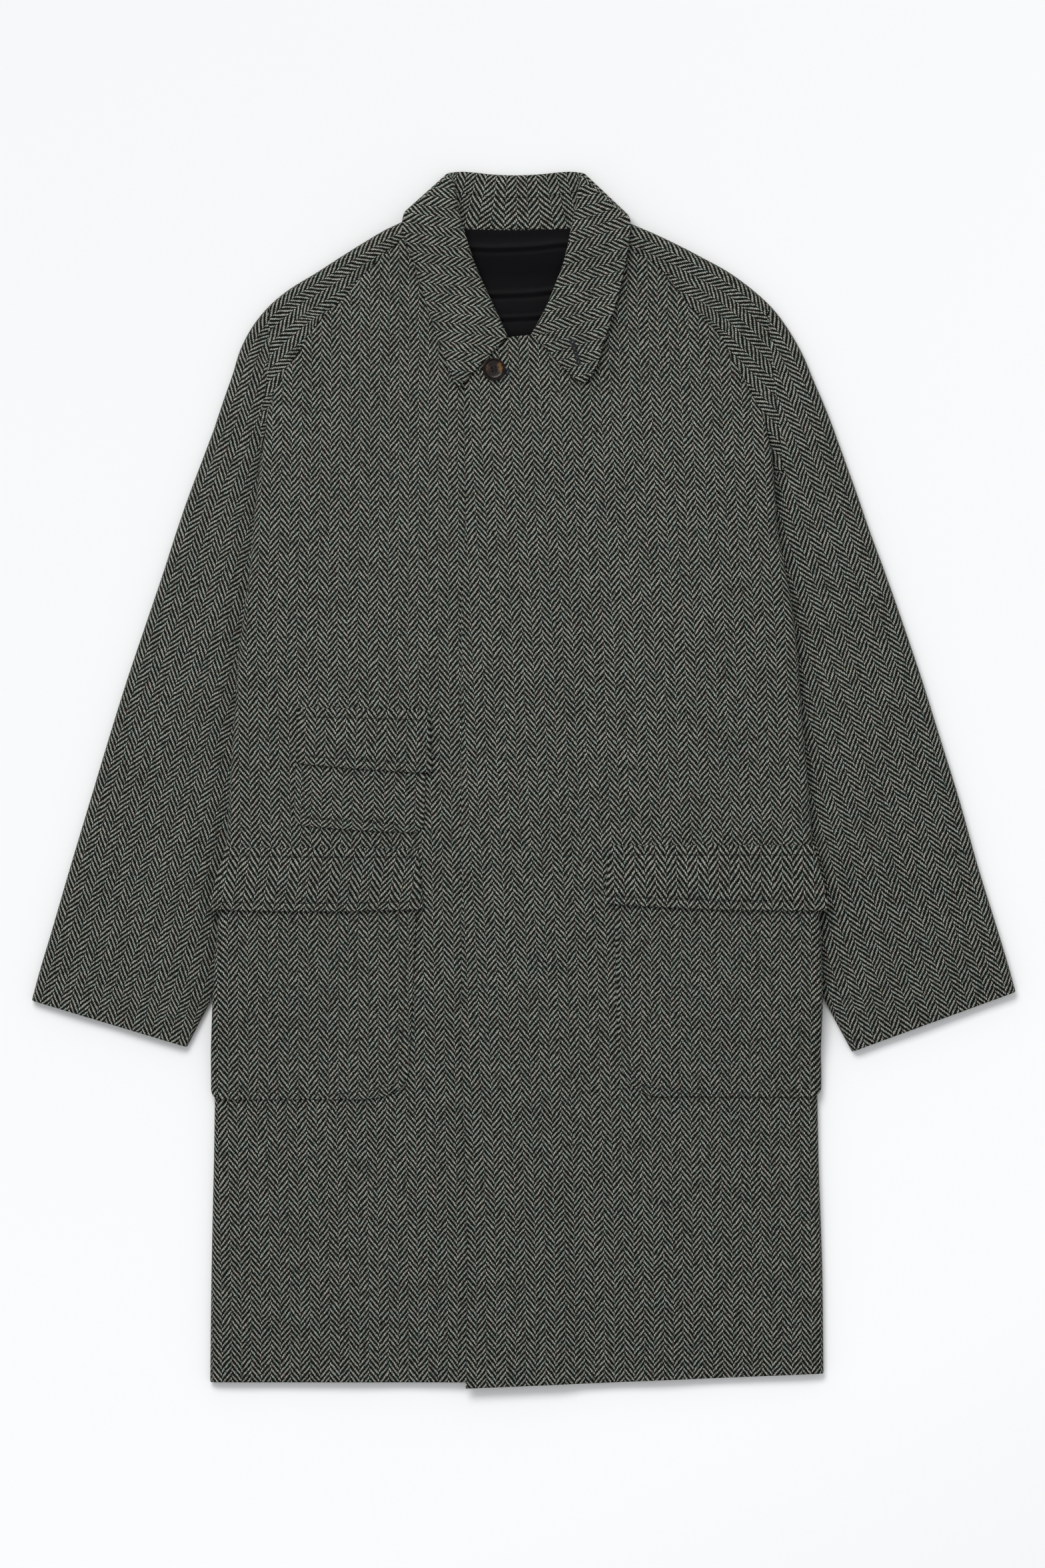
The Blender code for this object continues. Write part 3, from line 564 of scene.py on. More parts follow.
def sleeve_lift(x, y):
    """How high the body lies over the parts of the sleeves that are tucked under it."""
    y_rise = ease((y - up(ARMPIT_FLAT_Y)) / (up(ARMPIT_LIFTED_Y) - up(ARMPIT_FLAT_Y)))
    y_fall = ease((y - up(CUFF_FLAT_Y)) / (up(CUFF_LIFTED_Y) - up(CUFF_FLAT_Y)))
    lifted = 0.0
    for name, sleeve in (("right", RIGHT_SLEEVE), ("left", LEFT_SLEEVE)):
        under = points(sleeve, "under")
        under_x = np.interp(y, under[:, 1], under[:, 0])
        past = (under_x - x) * OUTWARD[name] - SLEEVE_MARGIN
        lifted = np.maximum(lifted, 1.0 - ease(past / SLEEVE_RAMP))
    return SLEEVE_LIFT * lifted * y_rise * y_fall


def collar_lift(y):
    """How high the cloth lies over the back of the collar."""
    return COLLAR_LIFT * ease((y - up(COLLAR_CLEAR_Y)) / (up(COLLAR_UNDER_Y) - up(COLLAR_CLEAR_Y)))


def sleeve_base(_, y):
    """The height of the underside of the sleeves."""
    return collar_lift(y)


def lap_rise(x, y):
    """How much higher the left front lies where it laps over the right one."""
    start = ease((x - across(LAP_START_X)) / (across(LAP_RAISED_X) - across(LAP_START_X)))
    end = ease((across(LAP_END_X) - x) / (across(LAP_END_X) - across(LAP_LEVEL_X)))
    below_neck = ease((up(LAP_FLAT_Y) - y) / (up(LAP_FLAT_Y) - up(LAP_RAISED_Y)))
    return LAP_RISE * start * end * below_neck


def body_base(x, y):
    """The height of the underside of the body."""
    return sleeve_lift(x, y) + collar_lift(y)


def unevenness(x, y):
    """How the coat's top rises and falls as it lies, in soft folds and long waves."""
    total = np.zeros(np.broadcast(x, y).shape)
    for middle_x, middle_y, lean, length, width, height in zip(*SOFT_FOLDS.values()):
        lean = math.radians(lean)
        from_x, from_y = x - across(middle_x), y - up(middle_y)
        along = from_x * math.sin(lean) + from_y * math.cos(lean)
        beside = from_x * math.cos(lean) - from_y * math.sin(lean)
        total = total + height * np.exp(-(beside / width) ** 2 - (along / length) ** 4)
    for length, turn, start, height in zip(*WAVES.values()):
        turn = math.radians(turn)
        along = x * math.cos(turn) + y * math.sin(turn)
        total = total + height * np.sin(2 * math.pi * along / length + start)
    strength = bpy.context.scene.coat_cloth.unevenness
    return strength * total * ease((up(EVEN_Y) - y) / (up(EVEN_Y) - up(UNEVEN_Y)))


def coat_top(x, y):
    """The height of the top of the coat's fronts."""
    return body_base(x, y) + STACK + lap_rise(x, y) + unevenness(x, y)


def front_crest(x, y):
    """What is added to the height of the left front."""
    return lap_rise(x, y) + unevenness(x, y)


def fold_line(fold):
    """A sleeve's fold beside the armhole, from its low end up."""
    return across([row[0] for row in fold])[::-1], up([row[1] for row in fold])[::-1]


def sleeve_crest(name, fold):
    """What is added to the height of a sleeve's front half."""
    fold_x, fold_y = fold_line(fold)
    side = points(BODY, name)

    def crest(x, y):
        line_x = np.interp(y, fold_y, fold_x)
        reach = ease((y - fold_y[0]) / FOLD_FADE) * ease((fold_y[-1] - y) / FOLD_FADE)
        trough = -FOLD_DEPTH * reach * np.exp(-((x - line_x) / FOLD_WIDTH) ** 2)
        clear = (x - np.interp(y, side[:, 1], side[:, 0])) * OUTWARD[name]
        below = ease((up(ARMPIT_Y) - y) / ARMPIT_FADE)
        beside = np.exp(-((clear - SIDE_TROUGH_PLACE) / SIDE_TROUGH_REACH) ** 2) * below
        free = np.maximum(ease((clear - SLEEVE_FREE_PLACE) / SLEEVE_FREE_REACH), 1 - below)
        return np.minimum(trough, -SIDE_TROUGH_DEPTH * beside) + unevenness(x, y) * free

    return crest


def through(values, marks, places):
    """Smooth values at some places along a line, through the ones known at its marks."""
    values = np.asarray(values, float).reshape(len(marks), -1)
    gaps = np.diff(marks)[:, None]
    slopes = np.diff(values, axis=0) / gaps
    leans = np.empty_like(values)
    leans[0], leans[-1] = slopes[0], slopes[-1]
    leans[1:-1] = (gaps[1:] * slopes[:-1] + gaps[:-1] * slopes[1:]) / (gaps[1:] + gaps[:-1])
    spans = np.clip(np.searchsorted(marks, places, side="right") - 1, 0, len(marks) - 2)
    gap = gaps[spans]
    share = (np.asarray(places)[:, None] - np.asarray(marks)[spans][:, None]) / gap
    first = (1 + 2 * share) * (1 - share) ** 2 * values[spans]
    first += share * (1 - share) ** 2 * gap * leans[spans]
    last = share ** 2 * (3 - 2 * share) * values[spans + 1]
    last -= share ** 2 * (1 - share) * gap * leans[spans + 1]
    return first + last


def marks_along(*lines):
    """How far along some lines each of their rows lies, by the one that moves most."""
    steps = np.max([np.linalg.norm(np.diff(line, axis=0), axis=1) for line in lines], axis=0)
    return np.concatenate([[0.0], np.cumsum(steps)])


def places_along(marks, step, close_start=False, close_end=False):
    """Places between marks, closer together beside a folded end."""
    places = [marks[0]]
    for first, last in zip(marks, marks[1:]):
        count = max(1, math.ceil((last - first) / step))
        places.extend(first + (last - first) * (np.arange(count) + 1) / count)
    if close_start:
        places.extend(marks[0] + np.array(CLOSE_OFFSETS))
    if close_end:
        places.extend(marks[-1] - np.array(CLOSE_OFFSETS))
    return np.unique(np.round(places, 3))


class Cloth:
    """A cloth's outer points row by row, the way it faces, where each point lies once the cloth
    is flattened out, and how much of its full thickness it has there."""

    def __init__(self, outer, facing, flat, full):
        self.outer = outer
        self.facing = facing
        self.flat = flat
        self.full = full

    def fold_ends(self, start, end, radius):
        """Rounds off the first or last row, where the cloth is folded over."""
        steps = np.linalg.norm(np.diff(self.outer, axis=0), axis=2)
        reach = np.concatenate([np.zeros((1, steps.shape[1])), np.cumsum(steps, axis=0)])
        if start:
            self.full = np.minimum(self.full, fullness(reach, radius))
        if end:
            self.full = np.minimum(self.full, fullness(reach[-1] - reach, radius))

    def rest_on(self, names, thickness):
        """Raises the cloth until it lies clear of what is below it."""
        below = self.outer - self.facing * thickness
        raised = clearance(below, [piece_surface(name) for name in names])
        self.outer = self.outer + raised[:, :, None] * UP


def fullness(distance, radius):
    """How much of its thickness a folded cloth has so far from its edge."""
    inward = np.clip(distance / radius, 0.0, 1.0)
    return np.maximum(np.sqrt(1.0 - (1.0 - inward) ** 2), THINNEST)


def piece_surface(name):
    """The surface of a piece that has been made, to lay other pieces on."""
    piece = bpy.data.objects.get(name)
    if piece is None:
        raise RuntimeError("%s has to be made first" % name)
    bpy.context.view_layer.update()
    return BVHTree.FromObject(piece, bpy.context.evaluated_depsgraph_get())


def clearance(below, surfaces):
    """How far each point of an underside has to rise, smoothed, to lie clear of some surfaces."""
    needed = np.zeros(below.shape[:2])
    straight_down = Vector((0.0, 0.0, -1.0))
    for place in np.ndindex(needed.shape):
        x, y, z = below[place]
        for surface in surfaces:
            hit = surface.ray_cast(Vector((x * MM, y * MM, RAY_START)), straight_down)[0]
            if hit is not None:
                needed[place] = max(needed[place], hit.z / MM + REST_GAP - z)
    raised = spread(needed, np.max)
    for _ in range(3):
        raised = np.maximum(needed, spread(raised, np.mean))
    return raised


def spread(grid, measure):
    """Each value of a grid from itself and its neighbours."""
    edged = np.pad(grid, 1, mode="edge")
    rows, columns = grid.shape
    near = [edged[down:down + rows, along:along + columns]
            for down in range(3) for along in range(3)]
    return measure(near, axis=0)


def stations(length, count, start, end):
    """Where each point of every row lies, as seen and flattened out, its angle round an edge and
    which edge that is."""
    radius = np.minimum(EDGE_ROUND, EDGE_SHARE * length)
    close = np.minimum(1.0, length / NARROW)
    rounded_start, rounded_end = start.around is not None, end.around is not None
    first = radius if rounded_start else CLOSE_OFFSETS[-1] * CLOSE_MARGIN * close
    last = length - (radius if rounded_end else CLOSE_OFFSETS[-1] * CLOSE_MARGIN * close)
    seen, flattened, angles, which = [], [], [], []

    def add(place, flat_place, angle, edge):
        seen.append(place)
        flattened.append(flat_place)
        angles.append(angle)
        which.append(edge)

    if rounded_start:
        for degrees in ROUND_ANGLES:
            angle = math.radians(degrees)
            add(radius * (1 - math.sin(angle)), radius * (1 - angle), angle, -1)
    else:
        for offset in (0.0, *CLOSE_OFFSETS):
            add(offset * close, offset * close, 0.0, 0)
    for share in np.linspace(0.0, 1.0, count + 1):
        place = first + (last - first) * share
        add(place, place, 0.0, 0)
    if rounded_end:
        for degrees in reversed(ROUND_ANGLES):
            angle = math.radians(degrees)
            add(length - radius * (1 - math.sin(angle)), length - radius * (1 - angle), angle, 1)
    else:
        for offset in (*reversed(CLOSE_OFFSETS), 0.0):
            add(length - offset * close, length - offset * close, 0.0, 0)
    return np.stack(seen, 1), np.stack(flattened, 1), np.array(angles), np.array(which)


def layer(starts, ends, side, base, start, end, crest=None, thickness=WALL):
    """One layer of cloth between two lines, row by row.

    The side is 1 for a layer on top and -1 for one underneath. A round edge falls to the middle
    of the stack.
    """
    length = np.linalg.norm(ends - starts, axis=1)
    along = (ends - starts) / length[:, None]
    count = max(3, math.ceil(length.max() / COLUMN_STEP))
    seen, flattened, angles, which = stations(length, count, start, end)
    roundness = np.zeros(seen.shape)
    for edge, sign in ((start, -1), (end, 1)):
        if edge.around is not None:
            roundness[:, which == sign] = np.asarray(edge.around)[:, None]
    flattened = seen + (flattened - seen) * roundness
    places = starts[:, None, :] + along[:, None, :] * seen[:, :, None]
    flat = starts[:, None, :] + along[:, None, :] * flattened[:, :, None]
    x, y = places[:, :, 0], places[:, :, 1]
    top = HALF_STACK + (crest(x, y) if crest else 0.0)
    fall = 1.0 - roundness * (1.0 - np.cos(angles))
    height = base(x, y) + HALF_STACK + side * (SEAM / 2 + (top - SEAM / 2) * fall)
    full = np.ones(seen.shape)
    cloth = bpy.context.scene.coat_cloth
    for edge, distance in ((start, seen), (end, length[:, None] - seen)):
        dip = np.asarray(edge.seam)[:, None] * cloth.seam_depth / MM
        height = height - side * dip * np.exp(-(distance / (cloth.seam_width / MM)) ** 2)
        folded = 1.0 - np.asarray(edge.fold)[:, None] * (1.0 - fullness(distance, thickness / 2))
        full = np.minimum(full, folded)
    lean = angles * roundness
    outward = along[:, None, :] * (which * np.sin(lean))[:, :, None]
    facing = np.concatenate([outward, (side * np.cos(lean))[:, :, None]], axis=2)
    outer = np.concatenate([places, height[:, :, None]], axis=2)
    return Cloth(outer, facing, flat, full)


def grid_faces(index):
    """The four-cornered faces of a grid of points."""
    return np.stack([index[:-1, :-1], index[:-1, 1:], index[1:, 1:], index[1:, :-1]],
                    axis=2).reshape(-1, 4)


def closed_wall(name, cloth, thickness, grain, material):
    """One closed solid through a cloth, with its herringbone's coordinates."""
    rows, columns = cloth.outer.shape[:2]
    slack = thickness * (1.0 - cloth.full)[:, :, None] / 2
    outer = cloth.outer - cloth.facing * slack
    inner = cloth.outer - cloth.facing * (thickness - slack)
    index = np.arange(rows * columns).reshape(rows, columns)
    count = rows * columns
    rim = np.concatenate([index[0, :-1], index[:-1, -1], index[-1, :0:-1], index[:0:-1, 0]])
    following = np.roll(rim, -1)
    sides = np.stack([rim, rim + count, following + count, following], axis=1)
    faces = np.concatenate([grid_faces(index), grid_faces(index + count)[:, ::-1], sides])
    places = np.concatenate([outer.reshape(-1, 3), inner.reshape(-1, 3)])
    first = grid_faces(index)
    spans = places[first[:, 2]] - places[first[:, 0]], places[first[:, 3]] - places[first[:, 1]]
    turned = np.sum(np.cross(*spans) * cloth.facing.reshape(-1, 3)[first[:, 0]])
    if turned < 0:
        faces = faces[:, ::-1]
    mesh = new_mesh(name, places, faces.tolist())
    marks = mesh.uv_layers.new(name="grain")
    marks.data.foreach_set("uv", (grain(faces % count) * MM).ravel())
    return add_piece(name, mesh, material)


def new_mesh(name, places, faces):
    """A mesh through points in millimetres."""
    mesh = bpy.data.meshes.new(name)
    mesh.from_pydata((np.asarray(places, float) * MM).tolist(), [], faces)
    return mesh


def add_object(name, contents):
    """An object in the scene with a mesh, a lamp or a camera."""
    made = bpy.data.objects.new(name, contents)
    bpy.context.collection.objects.link(made)
    return made


def add_piece(name, mesh, material):
    """A mesh of one material as an object in the scene, smooth but for its sharp edges."""
    mesh.materials.append(material)
    mesh.shade_smooth()
    mesh.set_sharp_from_angle(angle=math.radians(SHARP_ANGLE))
    return add_object(name, mesh)


def tube_faces(first, rings, sides):
    """The faces of a closed tube of rings, from the number of its first point."""
    faces = []
    for ring in range(rings - 1):
        for step in range(sides):
            here = first + ring * sides + step
            there = first + ring * sides + (step + 1) % sides
            faces.append((here, there, there + sides, here + sides))
    faces.append(tuple(first + step for step in reversed(range(sides))))
    faces.append(tuple(first + (rings - 1) * sides + step for step in range(sides)))
    return faces


def dress(piece, node, rests_on=()):
    """Puts a finished piece in the place of its plain solid."""
    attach(piece, "root")
    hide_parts(node)
    node in CUTS


def pixel_places(flat):
    """Flattened places in millimetres as pixels across and down the photograph."""
    return flat[..., 0] / MM_PER_PIXEL + MIDDLE_X, MIDDLE_Y - flat[..., 1] / MM_PER_PIXEL


def column_span():
    """The width of one herringbone column from peak to peak, in millimetres."""
    return 2 * bpy.context.scene.coat_cloth.column_width / MM


def by_point(marks):
    """Herringbone that runs on over a whole piece, from its coordinates at each point."""
    marks = marks.reshape(-1, 2)
    return lambda corners: marks[corners]


def straight_grain(flat, peak):
    """Herringbone whose columns follow a peak down the photograph."""
    x, y = pixel_places(flat.reshape(-1, 2))
    middle = np.interp(y, peak["y"], peak["x"])
    period = np.interp(y, peak["y"], peak["period"])
    return by_point(np.stack([(x - middle) / period * column_span(), y * MM_PER_PIXEL], axis=1))


def offset_from(line, places):
    """How far some places lie beside a line, and how far along it, with its ends run on."""
    line = np.concatenate([[line[0] - unit(line[1] - line[0]) * LINE_RUN_ON], line,
                           [line[-1] + unit(line[-1] - line[-2]) * LINE_RUN_ON]])
    starts, spans = line[:-1], np.diff(line, axis=0)
    lengths = np.linalg.norm(spans, axis=1)
    ways = spans / lengths[:, None]
    before = np.concatenate([[0.0], np.cumsum(lengths)[:-1]])
    best = np.full(len(places), np.inf)
    beside, along = np.zeros(len(places)), np.zeros(len(places))
    for start, way, length, offset in zip(starts, ways, lengths, before):
        from_start = places - start
        reach = np.clip(from_start @ way, 0.0, length)
        gap = np.linalg.norm(from_start - reach[:, None] * way, axis=1)
        nearer = gap < best
        sign = np.sign(from_start[:, 0] * way[1] - from_start[:, 1] * way[0])
        best[nearer] = gap[nearer]
        beside[nearer] = (gap * sign)[nearer]
        along[nearer] = (offset + from_start @ way)[nearer]
    return beside, along


def sleeve_grain(flat, sleeve, shoulder, fold, name):
    """Herringbone that follows the fold over the arm, and turns where the sleeve folds beside
    the armhole."""
    places = flat.reshape(-1, 2)
    arm = np.concatenate([points(sleeve, "over"), points(shoulder, "over")[:BEND_ROW + 1]])
    over_shoulder = points(shoulder, "over")[BEND_ROW:]
    scale = column_span() / (SLEEVE_PERIOD[name] * MM_PER_PIXEL)
    marks = []
    for line in (arm, over_shoulder):
        line = through(line, marks_along(line), places_along(marks_along(line), ROW_STEP))
        beside, along = offset_from(line, places)
        marks.append(np.stack([beside * scale, -along], axis=1))
    fold_x, fold_y = fold_line(fold)

    def grain(corners):
        centres = places[corners].mean(axis=1)
        inside = (np.interp(centres[:, 1], fold_y, fold_x) - centres[:, 0]) * OUTWARD[name] > 0
        on_shoulder = (inside & (centres[:, 1] > fold_y[0])) | (centres[:, 1] > fold_y[-1])
        return np.where(on_shoulder[:, None, None], marks[1][corners], marks[0][corners])

    return grain


def beside_seam(line, toward):
    """A seam line moved half a seam toward one of the pieces that meet there."""
    along = np.gradient(line, axis=0)
    across_seam = unit(np.stack([-along[:, 1], along[:, 0]], axis=1))
    turned = np.sign(np.sum(across_seam * (toward - line), axis=1))
    return line + across_seam * turned[:, None] * SEAM / 2


def shoulder_rows(columns, *names):
    """A shoulder's lines with more rows, the same for every piece that meets there."""
    lines = [points(side, name) for side in (RIGHT_SHOULDER, LEFT_SHOULDER)
             for name in ("over", "seam", "inner")]
    marks = marks_along(*lines)
    places = places_along(marks, ROW_STEP)
    known = list(ARMPIT_ROUNDNESS) + [0.0] * (len(marks) - len(ARMPIT_ROUNDNESS))
    around = np.interp(places, marks, known)
    neck_row = int(np.searchsorted(places, marks[BACK_NECK_ROW] - 0.01)) + 1
    return [through(points(columns, name), marks, places) for name in names], around, neck_row


def body_rows(*names):
    """The body's lines below the armpit, with more rows."""
    marks = marks_along(*[points(BODY, name) for name in ("right", "left", "lap")])
    places = places_along(marks, ROW_STEP, close_start=True)
    return [through(points(BODY, name), marks, places)[:-1] for name in names]


def side_line(name, shoulder):
    """One side of the body and the raglan seam above it, and the roundness of its edge."""
    below, = body_rows(name)
    (seam, inner), around, neck_row = shoulder_rows(shoulder, "seam", "inner")
    line = np.concatenate([below, beside_seam(seam, inner)])
    around = np.concatenate([np.ones(len(below)), around])
    seam_share = np.concatenate([np.zeros(len(below)), 1.0 - around[len(below):]])
    return line, Edge(around, seam_share, 0.0 * around), len(below) + neck_row


def cut_edge(edge, count):
    """The first rows of an edge."""
    return Edge(*(None if part is None else part[:count] for part in edge))


def make_back(material):
    """The back, whole, from one side to the other."""
    right, right_edge, count = side_line("right", RIGHT_SHOULDER)
    left, left_edge, _ = side_line("left", LEFT_SHOULDER)
    cloth = layer(right[:count], left[:count], -1, body_base, cut_edge(right_edge, count),
                  cut_edge(left_edge, count))
    cloth.fold_ends(True, False, WALL / 2)
    grain = straight_grain(cloth.flat, BACK_PEAK)
    piece = closed_wall("back_cloth", cloth, WALL, grain, material)
    dress(piece, "back")


def make_front(name, shoulder, inner_below, folded, crest, peak, material):
    """One front, from its own edge at the middle to its side."""
    side, edge, _ = side_line(name, shoulder)
    (inner_above,), _, _ = shoulder_rows(shoulder, "inner")
    inner = np.concatenate([inner_below, inner_above])
    own_edge = Edge(None, np.zeros(len(inner)), np.full(len(inner), folded))
    cloth = layer(inner, side, 1, body_base, own_edge, edge, crest)
    cloth.fold_ends(True, False, WALL / 2)
    if name == "left":
        cloth.rest_on(["front_right_cloth"], WALL)
    grain = straight_grain(cloth.flat, peak)
    piece = closed_wall("front_%s_cloth" % name, cloth, WALL, grain, material)
    dress(piece, "front_" + name, ["back"])


def make_sleeve(name, sleeve, shoulder, fold, material):
    """The front and back halves of a sleeve, which meet over and under the arm."""
    (seam, over_above), around, _ = shoulder_rows(shoulder, "seam", "over")
    seam = beside_seam(seam, over_above)
    under_known = np.concatenate([points(sleeve, "under"), seam[:1]])
    over_known = np.concatenate([points(sleeve, "over"), over_above[:1]])
    marks = marks_along(under_known, over_known)
    places = places_along(marks, ROW_STEP, close_start=True)
    under = np.concatenate([through(under_known, marks, places)[:-1], seam])
    over = np.concatenate([through(over_known, marks, places)[:-1], over_above])
    below = len(places) - 1
    around = np.concatenate([np.ones(below), around])
    seam_share = np.where(np.arange(len(around)) < below, 0.0, 1.0 - around)
    inside = Edge(around, seam_share, 0.0 * around)
    outside = Edge(np.ones(len(around)), 0.0 * around, 0.0 * around)
    crest = sleeve_crest(name, fold)
    for half, side, raised in (("back", -1, None), ("front", 1, crest)):
        cloth = layer(under, over, side, sleeve_base, inside, outside, raised)
        cloth.fold_ends(True, False, WALL / 2)
        grain = sleeve_grain(cloth.flat, sleeve, shoulder, fold, name)
        node = "sleeve_%s_%s" % (name, half)
        piece = closed_wall(node + "_cloth", cloth, WALL, grain, material)
        dress(piece, node, [] if half == "back" else ["sleeve_%s_back" % name])


class Collar:
    """The collar's lines from the tip of one leaf round the neck to the tip of the other."""

    def __init__(self):
        count = len(LEFT_COLLAR["turn"])
        lines = {}
        for name in ("roll", "edge", "neck"):
            lines[name] = np.concatenate([points(RIGHT_COLLAR, name),
                                          points(LEFT_COLLAR, name)[::-1]])
        marks = marks_along(*lines.values())
        places = places_along(marks, COLLAR_STEP, close_start=True, close_end=True)
        roll, edge, self.neck = (through(line, marks, places) for line in lines.values())
        both = {name: np.concatenate([RIGHT_COLLAR[name], LEFT_COLLAR[name][::-1]])
                for name in ("turn", "inside")}
        self.turn = np.radians(np.interp(places, marks, both["turn"]))
        self.inside = np.interp(places, marks, both["inside"]) * MM_PER_PIXEL
        middle = marks[len(marks) - count - 1]
        self.outward = np.where(places <= middle, -1.0, 1.0)
        self.middle_row = int(np.searchsorted(places, middle))
        down = unit(edge - roll)
        self.from_tip = np.minimum(places - marks[0], marks[-1] - places)
        tip = np.where(self.outward < 0, *LEAF_TIP_ROUND.values())
        short = np.clip(tip - self.from_tip, 0.0, tip)
        edge = edge - down * (tip - np.sqrt(tip ** 2 - short ** 2))[:, None]
        front = LEAF_FRONT_RISE + (1 - LEAF_FRONT_RISE) * ease(self.from_tip / LEAF_FRONT_REACH)
        self.rise = ROLL_RISE * front
        sideways = np.stack([-down[:, 1], down[:, 0]], axis=1) * self.outward[:, None]
        self.facing = np.concatenate([sideways * np.sin(self.turn)[:, None],
                                      np.cos(self.turn)[:, None]], axis=1)
        self.edge = edge - self.facing[:, :2] * COLLAR_WALL
        self.roll = (roll - self.facing[:, :2] * COLLAR_WALL
                     + down * (COLLAR_WALL + ROLL_GAP))
        self.down = np.concatenate([down, np.zeros((len(down), 1))], axis=1)

    def height(self, x, y, rise):
        """The height of the side that faces the coat."""
        turned_share = np.cos(self.turn)
        turned = (COLLAR_LIFT + HALF_STACK
                  + (HALF_STACK + SEAM + rise * np.maximum(turned_share, 0.0)) * turned_share)
        return np.where(self.turn > 0.0, turned, coat_top(x, y) + SEAM + rise)

    def roll_points(self):
        """The points at the roll line on the side that faces the coat."""
        x, y = self.roll.T
        return np.stack([x, y, self.height(x, y, self.rise)], axis=1)

    def inside_points(self, distance):
        """Points on the inside of the collar, so far down from the roll."""
        start = self.roll_points() - self.facing * 2 * ROLL_GAP
        toward = unit(self.neck - self.roll)
        toward = np.concatenate([toward, np.zeros((len(toward), 1))], axis=1)
        return start + toward * np.asarray(distance)[:, None]

    def grain(self, flat, spans, leaf):
        """Herringbone set straight on each leaf and running round the back of the neck."""
        length = np.linalg.norm(np.diff(self.roll, axis=0), axis=1)
        along = np.concatenate([[0.0], np.cumsum(length)])
        along = along - along[self.middle_row]
        on_back = np.stack([np.repeat(along[:, None], spans.shape[1], axis=1), -spans], axis=2)
        x, y = pixel_places(flat)
        on_leaf = np.zeros(flat.shape)
        for outward, (middle_x, middle_y, lean, peak, period) in LEAF_GRAIN.items():
            angle = math.radians(lean)
            beside = (x - middle_x) * math.cos(angle) + (y - middle_y) * math.sin(angle) - peak
            down = (y - middle_y) * math.cos(angle) - (x - middle_x) * math.sin(angle)
            rows = self.outward == outward
            on_leaf[rows] = np.stack([beside / period * column_span(), down * MM_PER_PIXEL],
                                     axis=2)[rows]
        columns = flat.shape[1]
        on_back, on_leaf = on_back.reshape(-1, 2), on_leaf.reshape(-1, 2)

        def grain(corners):
            rows = corners.min(axis=1) // columns
            return np.where(leaf[rows][:, None, None], on_leaf[corners], on_back[corners])

        return grain


def lay_leaves(cloth, inner, laid, turn):
    """Raises the collar's leaves, its first columns, until they lie clear of the coat."""
    surfaces = [piece_surface(name) for name in ("front_right_cloth", "front_left_cloth",
                                                 "sleeve_right_front_cloth",
                                                 "sleeve_left_front_cloth")]
    raised = np.zeros(inner.shape[:2])
    raised[:, :laid] = clearance(inner[:, :laid], surfaces)
    raised[:, laid:] = raised[:, laid - 1:laid]
    raised *= np.maximum(np.cos(turn), 0.0)[:, None]
    cloth.outer = cloth.outer + raised[:, :, None] * UP


def make_collar_fall(material):
    """The collar that folds down over the coat, all round the neck, as far as its inner seam."""
    collar = Collar()
    width = np.linalg.norm(collar.edge - collar.roll, axis=1)
    shares = np.concatenate([[0.0], np.array(CLOSE_OFFSETS) / LEAF_WIDTH, LEAF_SHARES])
    inner, facing, flat, spans = [], [], [], []
    for share in shares:
        x, y = (collar.edge + (collar.roll - collar.edge) * share).T
        lift = LEAF_EDGE_LIFT * np.exp(-share / LEAF_EDGE_REACH)
        lift = lift * ease(0.3 + collar.from_tip / LEAF_TIP_REACH)
        rise = collar.rise * share * share + lift
        inner.append(np.stack([x, y, collar.height(x, y, rise)], axis=1))
        facing.append(collar.facing)
        flat.append(inner[-1][:, :2])
        spans.append((1.0 - share) * width)
    roll = collar.roll_points()
    for angle in np.radians(ROLL_ANGLES):
        inner.append(roll - collar.down * ROLL_GAP * math.sin(angle)
                     - collar.facing * ROLL_GAP * (1 - math.cos(angle)))
        facing.append(collar.facing * math.cos(angle) - collar.down * math.sin(angle))
        around = (ROLL_GAP + COLLAR_WALL) * angle
        flat.append(roll[:, :2] - collar.down[:, :2] * around)
        spans.append(np.full(len(roll), -around))
    for share in INSIDE_SHARES:
        distance = collar.inside * share
        inner.append(collar.inside_points(distance))
        facing.append(-collar.facing)
        flat.append(roll[:, :2] - collar.down[:, :2] * (around + distance)[:, None])
        spans.append(-around - distance)
    inner, facing, flat = (np.stack(grid, axis=1) for grid in (inner, facing, flat))
    spans = np.stack(spans, axis=1)
    full = fullness(spans[:, :1] - spans, COLLAR_WALL / 2)
    cloth = Cloth(inner + facing * COLLAR_WALL, facing, flat, full)
    lay_leaves(cloth, inner, len(shares), collar.turn)
    cloth.fold_ends(True, True, COLLAR_WALL / 2)
    grain = collar.grain(flat, spans, np.degrees(collar.turn) < LEAF_TURN)
    piece = closed_wall("collar_fall_cloth", cloth, COLLAR_WALL, grain, material)
    dress(piece, "collar_fall", ["front_left", "front_right"])


